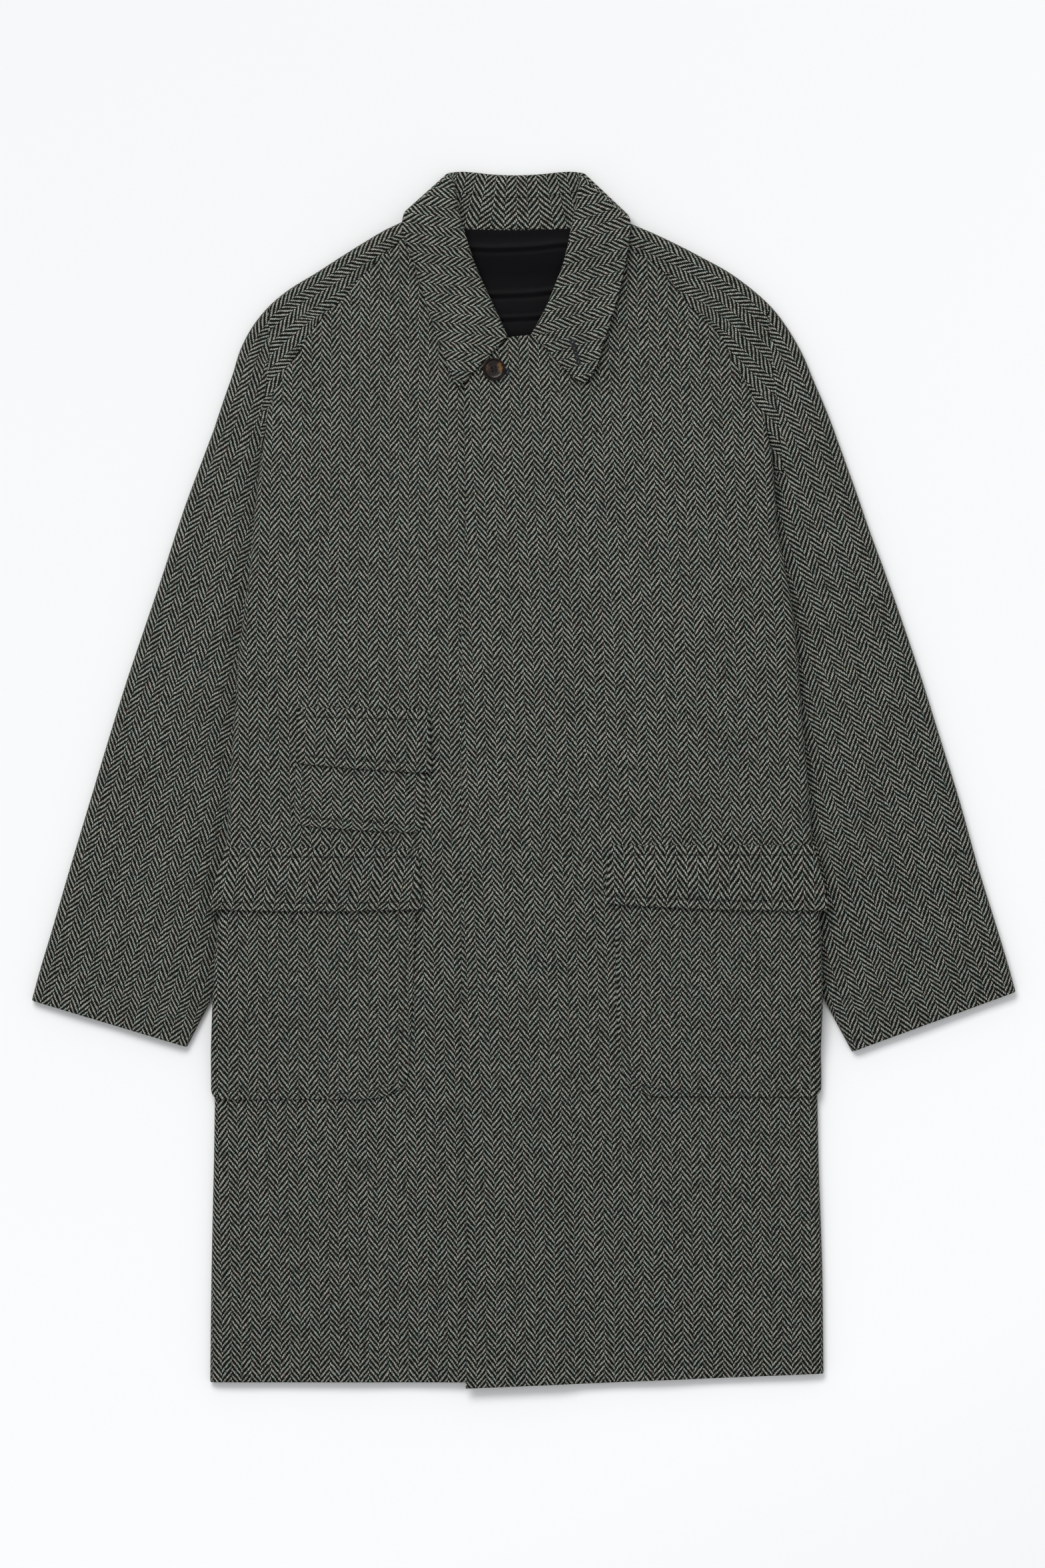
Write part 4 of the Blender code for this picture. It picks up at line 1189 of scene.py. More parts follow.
def make_collar_stand(material):
    """The band between the neck seam and the collar's inner seam."""
    collar = Collar()
    start = collar.inside_points(collar.inside + 2 * SEAM) - collar.facing * 2 * SEAM
    x, y = collar.neck.T
    height = COLLAR_LIFT + HALF_STACK + HALF_STACK * np.cos(collar.turn)
    height = np.where(collar.turn == 0.0, coat_top(x, y), height)
    end = np.stack([x, y, height], axis=1)
    shares = STAND_SHARES
    outer = np.stack([start + (end - start) * share for share in shares], axis=1)
    band = np.linalg.norm(end - start, axis=1)
    spans = -(collar.inside[:, None] + band[:, None] * shares)
    kept = (collar.neck[:, 1] > up(STAND_END_Y)) & (np.arange(len(band)) > 0)
    facing = np.repeat(collar.facing[:, None, :], len(shares), axis=1)
    cloth = Cloth(outer[kept], facing[kept], outer[kept][:, :, :2],
                  np.ones(outer[kept].shape[:2]))
    length = np.linalg.norm(np.diff(collar.roll, axis=0), axis=1)
    along = np.concatenate([[0.0], np.cumsum(length)])
    along = (along - along[collar.middle_row])[kept]
    marks = np.stack([np.repeat(along[:, None], len(shares), axis=1), -spans[kept]], axis=2)
    piece = closed_wall("collar_stand_cloth", cloth, WALL, by_point(marks), material)
    dress(piece, "collar_stand", ["neck_lining"])


def make_neck_lining(material):
    """The lining inside the back of the neck, in soft folds."""
    starts, ends = points(NECK_LINING, "right"), points(NECK_LINING, "left")
    marks = marks_along(starts, ends)
    places = places_along(marks, LINING_STEP)
    starts, ends = through(starts, marks, places), through(ends, marks, places)
    shares = np.linspace(0.0, 1.0, LINING_COLUMNS)
    grid = starts[:, None, :] + (ends - starts)[:, None, :] * shares[None, :, None]
    from_top = (starts[0, 1] - starts[:, 1])[:, None]
    grid[:, :, 1] -= TOP_SAG * np.sin(np.pi * shares) * np.exp(-from_top / TOP_SAG_REACH)
    x, y = grid[:, :, 0], grid[:, :, 1]
    height = body_base(x, y) + WALL + SEAM + LINING_WALL
    sag = FOLD_SAG * np.exp(-((x - FOLD_SAG_X) / FOLD_SAG_REACH) ** 2)
    sway = sag + FOLD_SWAY * np.sin(x / FOLD_SWAY_LENGTH + 1.0)
    fade = np.sin(np.pi * shares) ** FOLD_END_FADE
    for fold_y, width, crest in zip(*LINING_FOLDS.values()):
        height = height + crest * fade * np.exp(-((y - up(fold_y) + sway) / width) ** 2)
    outer = np.concatenate([grid, height[:, :, None]], axis=2)
    facing = np.broadcast_to(UP, outer.shape)
    cloth = Cloth(outer, facing, grid, np.ones(height.shape))
    piece = closed_wall("neck_lining_cloth", cloth, LINING_WALL, by_point(grid), material)
    dress(piece, "neck_lining", ["back"])


def sew_down(cloth, distance, inset):
    """Pulls a cloth down and thin along a line of stitches, so far in from an edge."""
    share = np.exp(-((distance - inset) / GROOVE_WIDTH) ** 2)
    cloth.outer = cloth.outer - (GROOVE_DEPTH * share)[:, :, None] * UP
    cloth.full = np.minimum(cloth.full, 1.0 - GROOVE_PINCH * share)


def make_patch_pocket(name, columns, material):
    """A patch pocket that runs round to the side seam."""
    known = points(columns, "inner")
    marks = marks_along(known)
    places = places_along(marks, PATCH_STEP, close_end=True)
    inner = through(known, marks, places)
    side = points(BODY, name)
    order = np.argsort(side[:, 1])
    side_x = np.interp(inner[:, 1], side[order, 1], side[order, 0])
    outward = np.sign(side_x[0] - inner[0, 0])
    short = np.clip(SIDE_CORNER - (inner[:, 1] - inner[-1, 1]), 0.0, SIDE_CORNER)
    inset = SIDE_CORNER - np.sqrt(SIDE_CORNER ** 2 - short ** 2)
    below_flap = ease((up(BULGE_Y) - inner[:, 1]) / BULGE_FADE)
    ends = np.stack([side_x + outward * (POCKET_BULGE * below_flap - inset), inner[:, 1]], axis=1)
    own = Edge(None, np.zeros(len(inner)), np.ones(len(inner)))
    outside = Edge(np.full(len(inner), POCKET_ROUNDNESS), np.zeros(len(inner)),
                   np.zeros(len(inner)))
    cloth = layer(inner, ends, 1, body_base, own, outside, front_crest, POCKET_WALL)
    cloth.outer = cloth.outer + cloth.facing * (SEAM + POCKET_WALL)
    cloth.rest_on(["front_%s_cloth" % name], POCKET_WALL)
    from_edge, _ = offset_from(inner, cloth.outer[:, :, :2].reshape(-1, 2))
    from_edge = np.abs(from_edge).reshape(cloth.full.shape)
    sew_down(cloth, from_edge, BOTTOM_BAND * MM_PER_PIXEL)
    cloth.fold_ends(False, True, POCKET_WALL / 2)
    x, y = pixel_places(cloth.flat)
    peak, period = POCKET_PEAK[name]
    take_up = EDGE_TAKE_UP * np.exp(-from_edge / EDGE_TAKE_UP_REACH)
    marks = np.stack([(x - peak) / period * column_span(), y * MM_PER_PIXEL + take_up], axis=2)
    piece = closed_wall("pocket_%s_cloth" % name, cloth, POCKET_WALL, by_point(marks), material)
    dress(piece, "pocket_" + name, ["front_" + name])


def edge_ends(shape, edge):
    """The two ends of a patch's top or bottom edge."""
    return np.array([(across(x), up(y)) for x, y in shape[edge]])


def sagged(shape, shares):
    """How far a patch's bottom edge bows down along its length."""
    return shape["sag"] * MM_PER_PIXEL * 4 * shares * (1 - shares)


def patch_rows(shape, height):
    """How far below its top edge each row of a patch lies, closer together where it bends."""
    top_band = TOP_BAND * MM_PER_PIXEL
    bottom_band = height - BOTTOM_BAND * MM_PER_PIXEL
    corner = shape["corner"]
    stops = [0.0, top_band, bottom_band, height - corner, height]
    reach = []
    for first, last in zip(stops, stops[1:]):
        if last > first:
            reach.extend(np.linspace(first, last, max(2, math.ceil((last - first) / PATCH_STEP))))
    reach.extend(CLOSE_OFFSETS)
    reach.extend(height - np.array((CLOSEST_ROW, *CLOSE_OFFSETS)))
    reach.extend(bottom_band + np.array(GROOVE_OFFSETS))
    if shape["stitched_top"]:
        reach.extend(top_band + np.array(GROOVE_OFFSETS))
    reach.extend(height - corner * (1 - np.sin(np.radians(CORNER_ANGLES))))
    return np.unique(np.round(reach, 3))


def patch_grid(shape, reach, height):
    """A patch's points as seen, and how far each is from its sides."""
    top, bottom = edge_ends(shape, "top"), edge_ends(shape, "bottom")
    down = (reach / height)[:, None]
    starts = top[0] + (bottom[0] - top[0]) * down
    ends = top[1] + (bottom[1] - top[1]) * down
    corner = shape["corner"]
    short = np.clip(corner - (height - reach), 0.0, corner)
    inset = (corner - np.sqrt(corner ** 2 - short ** 2))[:, None]
    along = unit(ends - starts)
    starts, ends = starts + along * inset, ends - along * inset
    length = np.linalg.norm(ends - starts, axis=1)[:, None]
    offsets = np.array((0.0, *CLOSE_OFFSETS))
    count = math.ceil(length.max() / PATCH_STEP)
    middle = np.linspace(PATCH_STEP, length.max() - PATCH_STEP, count) / length.max()
    shares = np.concatenate([offsets / length.max(), middle, 1 - offsets[::-1] / length.max()])
    grid = starts[:, None, :] + (ends - starts)[:, None, :] * shares[None, :, None]
    grid[:, :, 1] -= sagged(shape, shares) * down
    return grid, np.minimum(shares, 1 - shares) * length + inset * 0.5


def make_patch(name, material):
    """A four-cornered patch with rounded bottom corners, laid on the front."""
    shape = PATCHES[name]
    wall = shape["wall"]
    height = float(np.linalg.norm(edge_ends(shape, "bottom")[0] - edge_ends(shape, "top")[0]))
    reach = patch_rows(shape, height)
    grid, from_side = patch_grid(shape, reach, height)
    from_top = reach[:, None] + 0 * from_side
    from_edge = np.minimum(from_side, height - from_top)
    full = fullness(from_edge, wall / 2)
    if shape["stitched_top"]:
        full = np.minimum(full, fullness(from_top, wall / 2))
    x, y = grid[:, :, 0], grid[:, :, 1]
    lift = shape["lift"] * (from_top / height) ** 2
    outer = np.stack([x, y, coat_top(x, y) + SEAM + wall + lift], axis=2)
    cloth = Cloth(outer, np.broadcast_to(UP, outer.shape), grid, full)
    cloth.rest_on([below + "_cloth" for below in shape["on"]], wall)
    sew_down(cloth, from_edge, BOTTOM_BAND * MM_PER_PIXEL)
    if shape["stitched_top"]:
        sew_down(cloth, from_top, TOP_BAND * MM_PER_PIXEL)
    pixel_x, _ = pixel_places(grid)
    peak = shape["peak"] + shape["lean"] * (reach / MM_PER_PIXEL - TOP_BAND)[:, None]
    beside = (pixel_x - peak) / shape["period"] * column_span()
    scale = 4 * bpy.context.scene.coat_cloth.pick_pitch / MM / (shape["pitch"] * MM_PER_PIXEL)
    down = from_top + EDGE_TAKE_UP * np.exp(-from_edge / EDGE_TAKE_UP_REACH)
    grain = by_point(np.stack([beside, down * scale], axis=2))
    dress(closed_wall(name + "_cloth", cloth, wall, grain, material), name,
          shape["on"][-1:])


def make_button(material):
    """A turned four-hole button with a raised rim, sewn flat on the left front."""
    x, y = float(across(BUTTON_X)), float(up(BUTTON_Y))
    places, faces, rings = [], [], []
    turns = np.arange(BUTTON_SIDES) * 2 * math.pi / BUTTON_SIDES
    for radius, height in BUTTON_PROFILE:
        sides = BUTTON_SIDES if radius else 1
        rings.append(len(places) + np.arange(BUTTON_SIDES) % sides)
        places.extend((radius * math.cos(turn), radius * math.sin(turn), height)
                      for turn in turns[:sides])
    for above, below in zip(rings, rings[1:]):
        for here in range(BUTTON_SIDES):
            there = (here + 1) % BUTTON_SIDES
            corners = [above[here], below[here], below[there], above[there]]
            faces.append([int(corner) for corner in dict.fromkeys(corners)])
    piece = add_piece("button_horn", new_mesh("button_horn", places, faces), material)
    piece.location = (x * MM, y * MM, (float(coat_top(x, y)) + SEAM) * MM)
    piece.scale = (BUTTON_SCALE, BUTTON_SCALE, 1.0)
    drill_holes(piece)
    dress(piece, "button")


def drill_holes(button):
    """Cuts the four holes, a little wider at the face, through the button."""
    places, faces = [], []
    for degrees in HOLE_TURNS:
        hole = math.radians(degrees)
        faces.extend(tube_faces(len(places), len(HOLE_PROFILE), HOLE_SIDES))
        for height, widened in HOLE_PROFILE:
            for step in range(HOLE_SIDES):
                angle = 2 * math.pi * step / HOLE_SIDES
                places.append((HOLE_SPREAD * math.cos(hole)
                               + HOLE_RADIUS * widened * math.cos(angle),
                               HOLE_SPREAD * math.sin(hole)
                               + HOLE_RADIUS * widened * math.sin(angle), height))
    cutter = add_object("button_holes", new_mesh("button_holes", places, faces))
    cutter.location = button.location
    cut = button.modifiers.new("holes", "BOOLEAN")
    cut.object = cutter
    cut.operation = "DIFFERENCE"
    cut.solver = "EXACT"
    bpy.context.view_layer.update()
    shape = button.evaluated_get(bpy.context.evaluated_depsgraph_get())
    drilled = bpy.data.meshes.new_from_object(shape)
    button.modifiers.clear()
    button.data = drilled
    drilled.shade_smooth()
    drilled.set_sharp_from_angle(angle=math.radians(BUTTON_SHARP_ANGLE))
    bpy.data.objects.remove(cutter, do_unlink=True)


def sew_button(material):
    """The thread through the button's holes, in two bars of three turns."""
    x, y = float(across(BUTTON_X)), float(up(BUTTON_Y))
    face = float(coat_top(x, y)) + SEAM + BUTTON_FACE
    starts, ends = [], []
    for offset in THREAD_OFFSETS:
        for hole, degrees in enumerate(HOLE_TURNS):
            angle = math.radians(degrees)
            kept = ends if hole % 2 else starts
            kept.append((x + HOLE_SPREAD * math.cos(angle) + offset * 0.4,
                         y + HOLE_SPREAD * math.sin(angle) + offset, face + 0.1))
    stitches("button_thread", starts, ends, THREAD_RADIUS, material)


def stitches(name, starts, ends, radius, material):
    """Short rounded threads, each from one place to another, as one mesh."""
    rings = ((0.0, 0.35), (0.12, 0.8), (0.3, 1.0), (0.7, 1.0), (0.88, 0.8), (1.0, 0.35))
    turns = np.arange(STITCH_SIDES) * 2 * math.pi / STITCH_SIDES
    places, faces = [], []
    for start, end in zip(np.asarray(starts, float), np.asarray(ends, float)):
        way = unit(end - start)
        beside = unit(np.cross(way, UP))
        above = np.cross(beside, way)
        faces.extend(tube_faces(len(places), len(rings), STITCH_SIDES))
        for share, thickness in rings:
            middle = start + (end - start) * share + UP * radius * 0.5 * math.sin(math.pi * share)
            for turn in turns:
                outward = beside * math.cos(turn) + above * math.sin(turn)
                places.append(middle + outward * radius * thickness)
    piece = add_piece(name, new_mesh(name, places, faces), material)
    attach(piece, "root")


def stitched_line(name, line, on_piece, material):
    """Small stitches sunk into a piece along a line."""
    surface = piece_surface(on_piece)
    marks = marks_along(line)
    pitch = STITCH_LENGTH + STITCH_GAP
    first = np.arange(pitch, marks[-1] - pitch, pitch)
    sunk = STITCH_RADIUS * 0.35
    kept = []
    for places in (first, first + STITCH_LENGTH):
        ends = [np.interp(places, marks, line[:, axis]) for axis in (0, 1)]
        heights = [surface_height(surface, x, y) - sunk for x, y in zip(*ends)]
        kept.append(np.stack([*ends, heights], axis=1))
    stitches(name, *kept, STITCH_RADIUS, material)


def surface_height(surface, x, y):
    """The height of a surface at a place, in millimetres."""
    hit = surface.ray_cast(Vector((x * MM, y * MM, RAY_START)), Vector((0.0, 0.0, -1.0)))[0]
    if hit is None:
        raise RuntimeError("nothing to stitch on at %.1f, %.1f" % (x, y))
    return hit.z / MM


def buttonhole(name, eye, tail, eye_radius, on_piece, material):
    """A keyhole buttonhole, its edge bound with close stitches."""
    surface = piece_surface(on_piece)
    eye, tail = (np.array((across(x), up(y))) for x, y in (eye, tail))
    way = unit(tail - eye)
    beside = np.array((-way[1], way[0]))
    length = float(np.linalg.norm(tail - eye))
    starts, ends = [], []

    def add(inner, outer):
        for place, kept in ((inner, starts), (outer, ends)):
            kept.append((*place, surface_height(surface, *place) + BOUND_LIFT))

    for angle in np.radians(np.arange(*EYE_DEGREES)):
        turn = way * math.cos(angle) + beside * math.sin(angle)
        add(eye + turn * eye_radius * 0.5, eye + turn * (eye_radius + EYE_WIDTH))
    for reach in np.arange(eye_radius + 0.6, length, BOUND_STEP):
        for side in (-1, 1):
            add(eye + way * reach + beside * side * 0.25,
                eye + way * (reach + 0.15) + beside * side * BOUND_WIDTH)
    for offset in BAR_OFFSETS:
        add(tail + way * 0.4 * abs(offset) + beside * (offset - BAR_HALF),
            tail + way * BAR_HALF + beside * (offset + BAR_HALF))
    stitches(name, starts, ends, BOUND_RADIUS, material)


def patch_top_line(shape):
    """The stitched line along a flap's top edge."""
    line = edge_ends(shape, "top")
    line[:, 1] -= TOP_BAND * MM_PER_PIXEL
    return line + unit(line[1] - line[0]) * np.array(TOP_LINE_INSETS)[:, None]


def patch_edge_line(shape):
    """The stitched line inside a patch's sides and bottom edge."""
    band = BOTTOM_BAND * MM_PER_PIXEL
    right, left = edge_ends(shape, "bottom")
    top_right, top_left = edge_ends(shape, "top")
    shares = np.linspace(0.0, 1.0, PATCH_LINE_STEPS)
    line = right + (left - right) * shares[:, None]
    line[:, 1] += band - sagged(shape, shares)
    line = line[(line[:, 0] > right[0] + band) & (line[:, 0] < left[0] - band)]
    right_side = right + (top_right - right) * SIDE_STITCHED + (band, band)
    left_side = left + (top_left - left) * SIDE_STITCHED + (-band, band)
    return np.concatenate([[right_side], line, [left_side]])


def pocket_line(name, columns):
    """The stitched line inside a patch pocket's own edge."""
    inner = points(columns, "inner")[1:]
    side_x = points(BODY, name)[POCKET_SIDE_ROW, 0]
    end = (side_x - POCKET_LINE_END * OUTWARD[name], inner[-1, 1])
    inner = np.concatenate([inner, [end]])
    marks = marks_along(inner)
    inner = through(inner, marks, places_along(marks, PATCH_STEP))
    along = np.gradient(inner, axis=0)
    inward = unit(np.stack([along[:, 1], -along[:, 0]], axis=1))
    toward = np.array((side_x, inner[0, 1])) - inner
    inward *= np.sign(np.sum(inward * toward, axis=1))[:, None]
    return inner + inward * BOTTOM_BAND * MM_PER_PIXEL


def topstitch(thread):
    """The stitched lines of the flaps and pockets."""
    for name, shape in PATCHES.items():
        if shape["stitched_top"]:
            stitched_line(name + "_top_stitches", patch_top_line(shape), name + "_cloth", thread)
        stitched_line(name + "_edge_stitches", patch_edge_line(shape), name + "_cloth", thread)
    for name, columns in (("right", RIGHT_POCKET), ("left", LEFT_POCKET)):
        stitched_line("pocket_%s_stitches" % name, pocket_line(name, columns),
                      "pocket_%s_cloth" % name, thread)


class Value:
    """A number worked out by a material, with the usual signs for its maths."""

    def __init__(self, recipe, socket):
        self.recipe = recipe
        self.socket = socket

    def maths(self, operation, *values):
        made = self.recipe.node("ShaderNodeMath", {"operation": operation},
                                dict(enumerate(values)))
        return Value(self.recipe, made.outputs[0])

    def __add__(self, other):
        return self.maths("ADD", self, other)

    def __radd__(self, other):
        return self.maths("ADD", other, self)

    def __sub__(self, other):
        return self.maths("SUBTRACT", self, other)

    def __rsub__(self, other):
        return self.maths("SUBTRACT", other, self)

    def __mul__(self, other):
        return self.maths("MULTIPLY", self, other)

    def __rmul__(self, other):
        return self.maths("MULTIPLY", other, self)

    def __truediv__(self, other):
        return self.maths("DIVIDE", self, other)

    def __rtruediv__(self, other):
        return self.maths("DIVIDE", other, self)

    def __pow__(self, other):
        return self.maths("POWER", self, other)

    def __lt__(self, other):
        return self.maths("LESS_THAN", self, other)

    def floor(self):
        return self.maths("FLOOR", self)

    def arch(self):
        """A hump that is 0 where the value is 0 or 1, and 1 in between."""
        return self.maths("SINE", self * math.pi)

    def held(self, low, high):
        """The value kept between two others."""
        return self.maths("MINIMUM", self.maths("MAXIMUM", self, low), high)

    def step(self, low, high):
        """A soft step from 0 to 1 as the value passes from one number to another."""
        made = self.recipe.node("ShaderNodeMapRange", {"interpolation_type": "SMOOTHSTEP"},
                                {"Value": self, "From Min": low, "From Max": high})
        return Value(self.recipe, made.outputs["Result"])


class Recipe:
    """A material's nodes, added one by one."""

    def __init__(self, name):
        self.material = bpy.data.materials.new(name)
        self.material.use_nodes = True
        self.tree = self.material.node_tree
        self.shader = self.tree.nodes["Principled BSDF"]

    def node(self, kind, settings=None, inputs=None):
        """Any node, from its type, its settings and its sockets' values or links."""
        made = self.tree.nodes.new(kind)
        for name, value in (settings or {}).items():
            setattr(made, name, value)
        for name, value in (inputs or {}).items():
            self.feed(made.inputs[name], value)
        return made

    def feed(self, socket, value):
        """Sets a socket to a value or links it."""
        if isinstance(value, Value):
            value = value.socket
        if isinstance(value, bpy.types.NodeSocket):
            self.tree.links.new(value, socket)
        elif socket.type == "RGBA" and len(value) == 3:
            socket.default_value = (*value, 1.0)
        else:
            socket.default_value = value

    def value(self, socket):
        """A socket's number, for maths."""
        return Value(self, socket)

    def parts(self, vector):
        """The three numbers of a vector."""
        split = self.node("ShaderNodeSeparateXYZ", None, {0: vector})
        return [self.value(socket) for socket in split.outputs]

    def vector(self, x, y, z):
        """A vector of three numbers."""
        return self.node("ShaderNodeCombineXYZ", None, {0: x, 1: y, 2: z}).outputs[0]

    def noise(self, vector, scale, detail=2.0, roughness=0.5):
        """Soft noise, about 0.5 on average."""
        made = self.node("ShaderNodeTexNoise", None, {"Vector": vector, "Scale": scale,
                                                      "Detail": detail,
                                                      "Roughness": roughness})
        return self.value(made.outputs[0])

    def blend(self, share, first, second):
        """A colour between two others."""
        made = self.node("ShaderNodeMix", {"data_type": "RGBA"},
                         {0: share, 6: first, 7: second})
        return made.outputs[2]

    def ramp(self, share, *stops):
        """A colour that runs through some others, each at its own place from 0 to 1."""
        made = self.node("ShaderNodeValToRGB", None, {0: share})
        elements = made.color_ramp.elements
        while len(elements) < len(stops):
            elements.new(0.5)
        for element, (place, colour) in zip(elements, stops):
            element.position = place
            element.color = (*colour, 1.0)
        return made.outputs[0]

    def relief(self, height, distance, strength):
        """The surface bumped by a height."""
        made = self.node("ShaderNodeBump", None, {"Height": height, "Distance": distance,
                                                  "Strength": strength})
        return made.outputs[0]

    def finish(self, **sockets):
        """Sets the shader's own sockets and gives the material."""
        for name, value in sockets.items():
            self.feed(self.shader.inputs[name.replace("_", " ")], value)
        return self.material


def herringbone(tweed, grain):
    """Where the light warp lies on top and how its yarn rounds there, then the numbers of its
    thread, its pick and its column. The rounding gives the weave's bump and a painted shade,
    darker at each yarn's edges and float ends. Each column meets the next one half a chevron away."""
    cloth = bpy.context.scene.coat_cloth
    wander = tweed.noise(grain, 260.0, 4.0, 0.7) - 0.5
    shifted = tweed.node("ShaderNodeVectorMath", {"operation": "ADD"},
                         {0: grain, 1: (3.7, 1.9, 0.0)}).outputs[0]
    drift = tweed.noise(shifted, 300.0, 4.0, 0.75) - 0.5
    sway = tweed.noise(grain, 55.0, 2.0) - 0.5
    beside, down, _ = tweed.parts(grain)
    ends = beside / (cloth.column_width / COLUMN_ENDS) + wander * 1.1 + sway * 0.8
    picks = down / cloth.pick_pitch + drift * 2.0 + sway * 2.5
    end = ends.floor()
    column = (end / COLUMN_ENDS).floor()
    turned = column - (column / 2).floor() * 2
    place = end - column * COLUMN_ENDS
    slant = picks - (place + turned * (COLUMN_ENDS + 1 - place * 2))
    along = slant - (slant / TWILL).floor() * TWILL
    # Each float's rounding, low at its ends and edges: the weave's bump and a painted shade
    # between the yarns
    float_round_and_shade = (along / LIGHT_FLOAT).held(0.0, 1.0).arch().held(0.0, 1.0) ** 0.95
    end_round_and_shade = (ends - end).arch().held(0.0, 1.0) ** 0.8
    yarn = float_round_and_shade * (end_round_and_shade * 0.75 + 0.25)
    return along < float(LIGHT_FLOAT), yarn, end, picks, column


def tweed_material():
    """Herringbone tweed: light warp and dark weft in a 2/2 twill that turns at each column."""
    made = bpy.data.materials.get("herringbone tweed")
    if made:
        return made
    cloth = bpy.context.scene.coat_cloth
    tweed = Recipe("herringbone tweed")
    grain = tweed.node("ShaderNodeUVMap", {"uv_map": "grain"}).outputs[0]
    warp, yarn, end, picks, column = herringbone(tweed, grain)
    melange = tweed.noise(tweed.vector(end * 5.3, picks * 0.22, column * 1.7), 1.0, 3.0, 0.65)
    fibre = tweed.noise(grain, 1250.0, 3.0, 0.8)
    fuzz = tweed.noise(grain, 1100.0, 3.0, 0.7)
    mottle = tweed.noise(grain, 38.0, 2.0, 0.6)
    fleck = tweed.noise(tweed.vector(end * 9.1, picks * 0.5, 4.0), 1.0, 1.0)
    tint = tweed.noise(tweed.vector(end * 2.3, picks * 0.15, 9.0), 1.0, 1.0)
    light = tweed.ramp(tint, (0.3, cloth.light_yarn_cool), (0.5, cloth.light_yarn),
                       (0.7, cloth.light_yarn_warm))
    dark = tweed.ramp(tint, (0.32, (0.004, 0.007, 0.0055)), (0.5, cloth.dark_yarn),
                      (0.69, (0.009, 0.005, 0.005)))
    # The yarn's rounding darkens the light warp at its edges and float ends: painted shade between
    # the yarns
    bright = warp * yarn * (melange.step(0.32, 0.68) * 0.95 + 0.47)
    bright = bright * (fibre.step(0.36, 0.66) * 1.25 + 0.42) + fuzz.step(0.52, 0.8) * 0.07
    bright = bright * (mottle * 0.3 + 0.85)
    colour = tweed.blend(bright.held(0.0, 1.0), dark, light)
    colour = tweed.blend(fleck.step(0.75, 0.8) * warp * 0.6, colour, cloth.fleck)
    height = warp * yarn + (1 - warp) * 0.3 + fibre * 0.35
    return tweed.finish(
        Base_Color=colour, Roughness=0.95, Specular_IOR_Level=0.02,
        Sheen_Weight=cloth.nap, Sheen_Roughness=0.6, Sheen_Tint=(0.8, 0.82, 0.78),
        Normal=tweed.relief(height, cloth.weave_relief, 0.8))


def satin_material():
    """Black satin lining with a fine twill and a soft shine."""
    trim = bpy.context.scene.coat_trim
    satin = Recipe("satin lining")
    grain = satin.node("ShaderNodeUVMap", {"uv_map": "grain"}).outputs[0]
    x, y, _ = satin.parts(grain)
    line = (x + y) / SATIN_PITCH
    weave = (line - line.floor()).arch()
    crumple = satin.noise(grain, 70.0, 3.0)
    shade = satin.blend(weave * 0.35, trim.lining, (0.008, 0.008, 0.0095))
    return satin.finish(
        Base_Color=shade, Roughness=crumple * 0.12 + 0.42, Specular_IOR_Level=0.05,
        Normal=satin.relief(weave * 0.15 + crumple, 0.0006, 0.5))


def horn_material():
    """Polished dark horn, amber in two patches inside the rim, on its right and its left."""
    trim = bpy.context.scene.coat_trim
    horn = Recipe("polished horn")
    place = horn.node("ShaderNodeTexCoord").outputs["Object"]
    x, y, _ = horn.parts(place)
    cloud = horn.noise(place, 210.0, 4.0, 0.6)
    streak = horn.noise(horn.vector(x * 2.2, y * 0.7, 0.0), 480.0, 3.0, 0.65)

    def patch(patch_x, patch_y, wide, tall):
        reach = ((x - patch_x) / wide) ** 2.0 + ((y - patch_y) / tall) ** 2.0
        return 1 - reach.step(0.0, 1.0)

    # Amber in two fixed patches inside the rim, one on the right and a fainter one on the left
    amber = patch(0.0050, 0.0022, 0.0032, 0.0056) + patch(-0.0058, 0.0008, 0.0024, 0.0050) * 0.6
    amber = amber * cloud.step(0.28, 0.66) * (streak * 0.8 + 0.45)
    ground = horn.ramp(cloud * 0.6 + streak * 0.4, (0.3, trim.horn_dark),
                       (0.62, trim.horn_brown), (0.8, (0.024, 0.017, 0.013)))
    colour = horn.blend(amber.held(0.0, 1.0), ground, trim.horn_amber)
    return horn.finish(
        Base_Color=colour, Roughness=streak * 0.15 + 0.2, Specular_IOR_Level=0.25,
        Normal=horn.relief(streak, 0.0001, 0.4))


def thread_material(name, colour):
    """Twisted sewing thread."""
    thread = Recipe(name)
    place = thread.node("ShaderNodeTexCoord").outputs["Object"]
    ply = thread.noise(place, 2400.0, 2.0)
    darker = tuple(part * 0.45 for part in colour)
    shade = thread.blend(ply.step(0.3, 0.7), darker, tuple(colour))
    return thread.finish(Base_Color=shade, Roughness=0.7, Specular_IOR_Level=0.3,
                         Normal=thread.relief(ply, 0.0002, 0.6))


def floor_paper(stage, lamp_place, toward):
    """Pale paper, graded against the lamp's falloff so that it photographs in one even tone."""
    paper = Recipe("floor paper")
    x, y, _ = paper.parts(paper.node("ShaderNodeTexCoord").outputs["Object"])
    away_x, away_y = x - lamp_place.x, y - lamp_place.y
    distance = away_x * away_x + away_y * away_y + lamp_place.z ** 2
    facing = away_x * toward.x + away_y * toward.y - lamp_place.z * toward.z
    lamp_share = facing * (stage.key_power * lamp_place.z / math.pi ** 2) / (distance * distance)
    tone = stage.floor_tone / (lamp_share + stage.daylight)
    grain = paper.noise(paper.vector(x, y, 0.0), 2.0, 2.0) - 0.5
    tone = (tone * (grain * 0.01 + 1)).held(0.0, 1.0)
    return paper.finish(Base_Color=paper.vector(tone, tone, tone), Roughness=0.95,
                        Specular_IOR_Level=0.02)


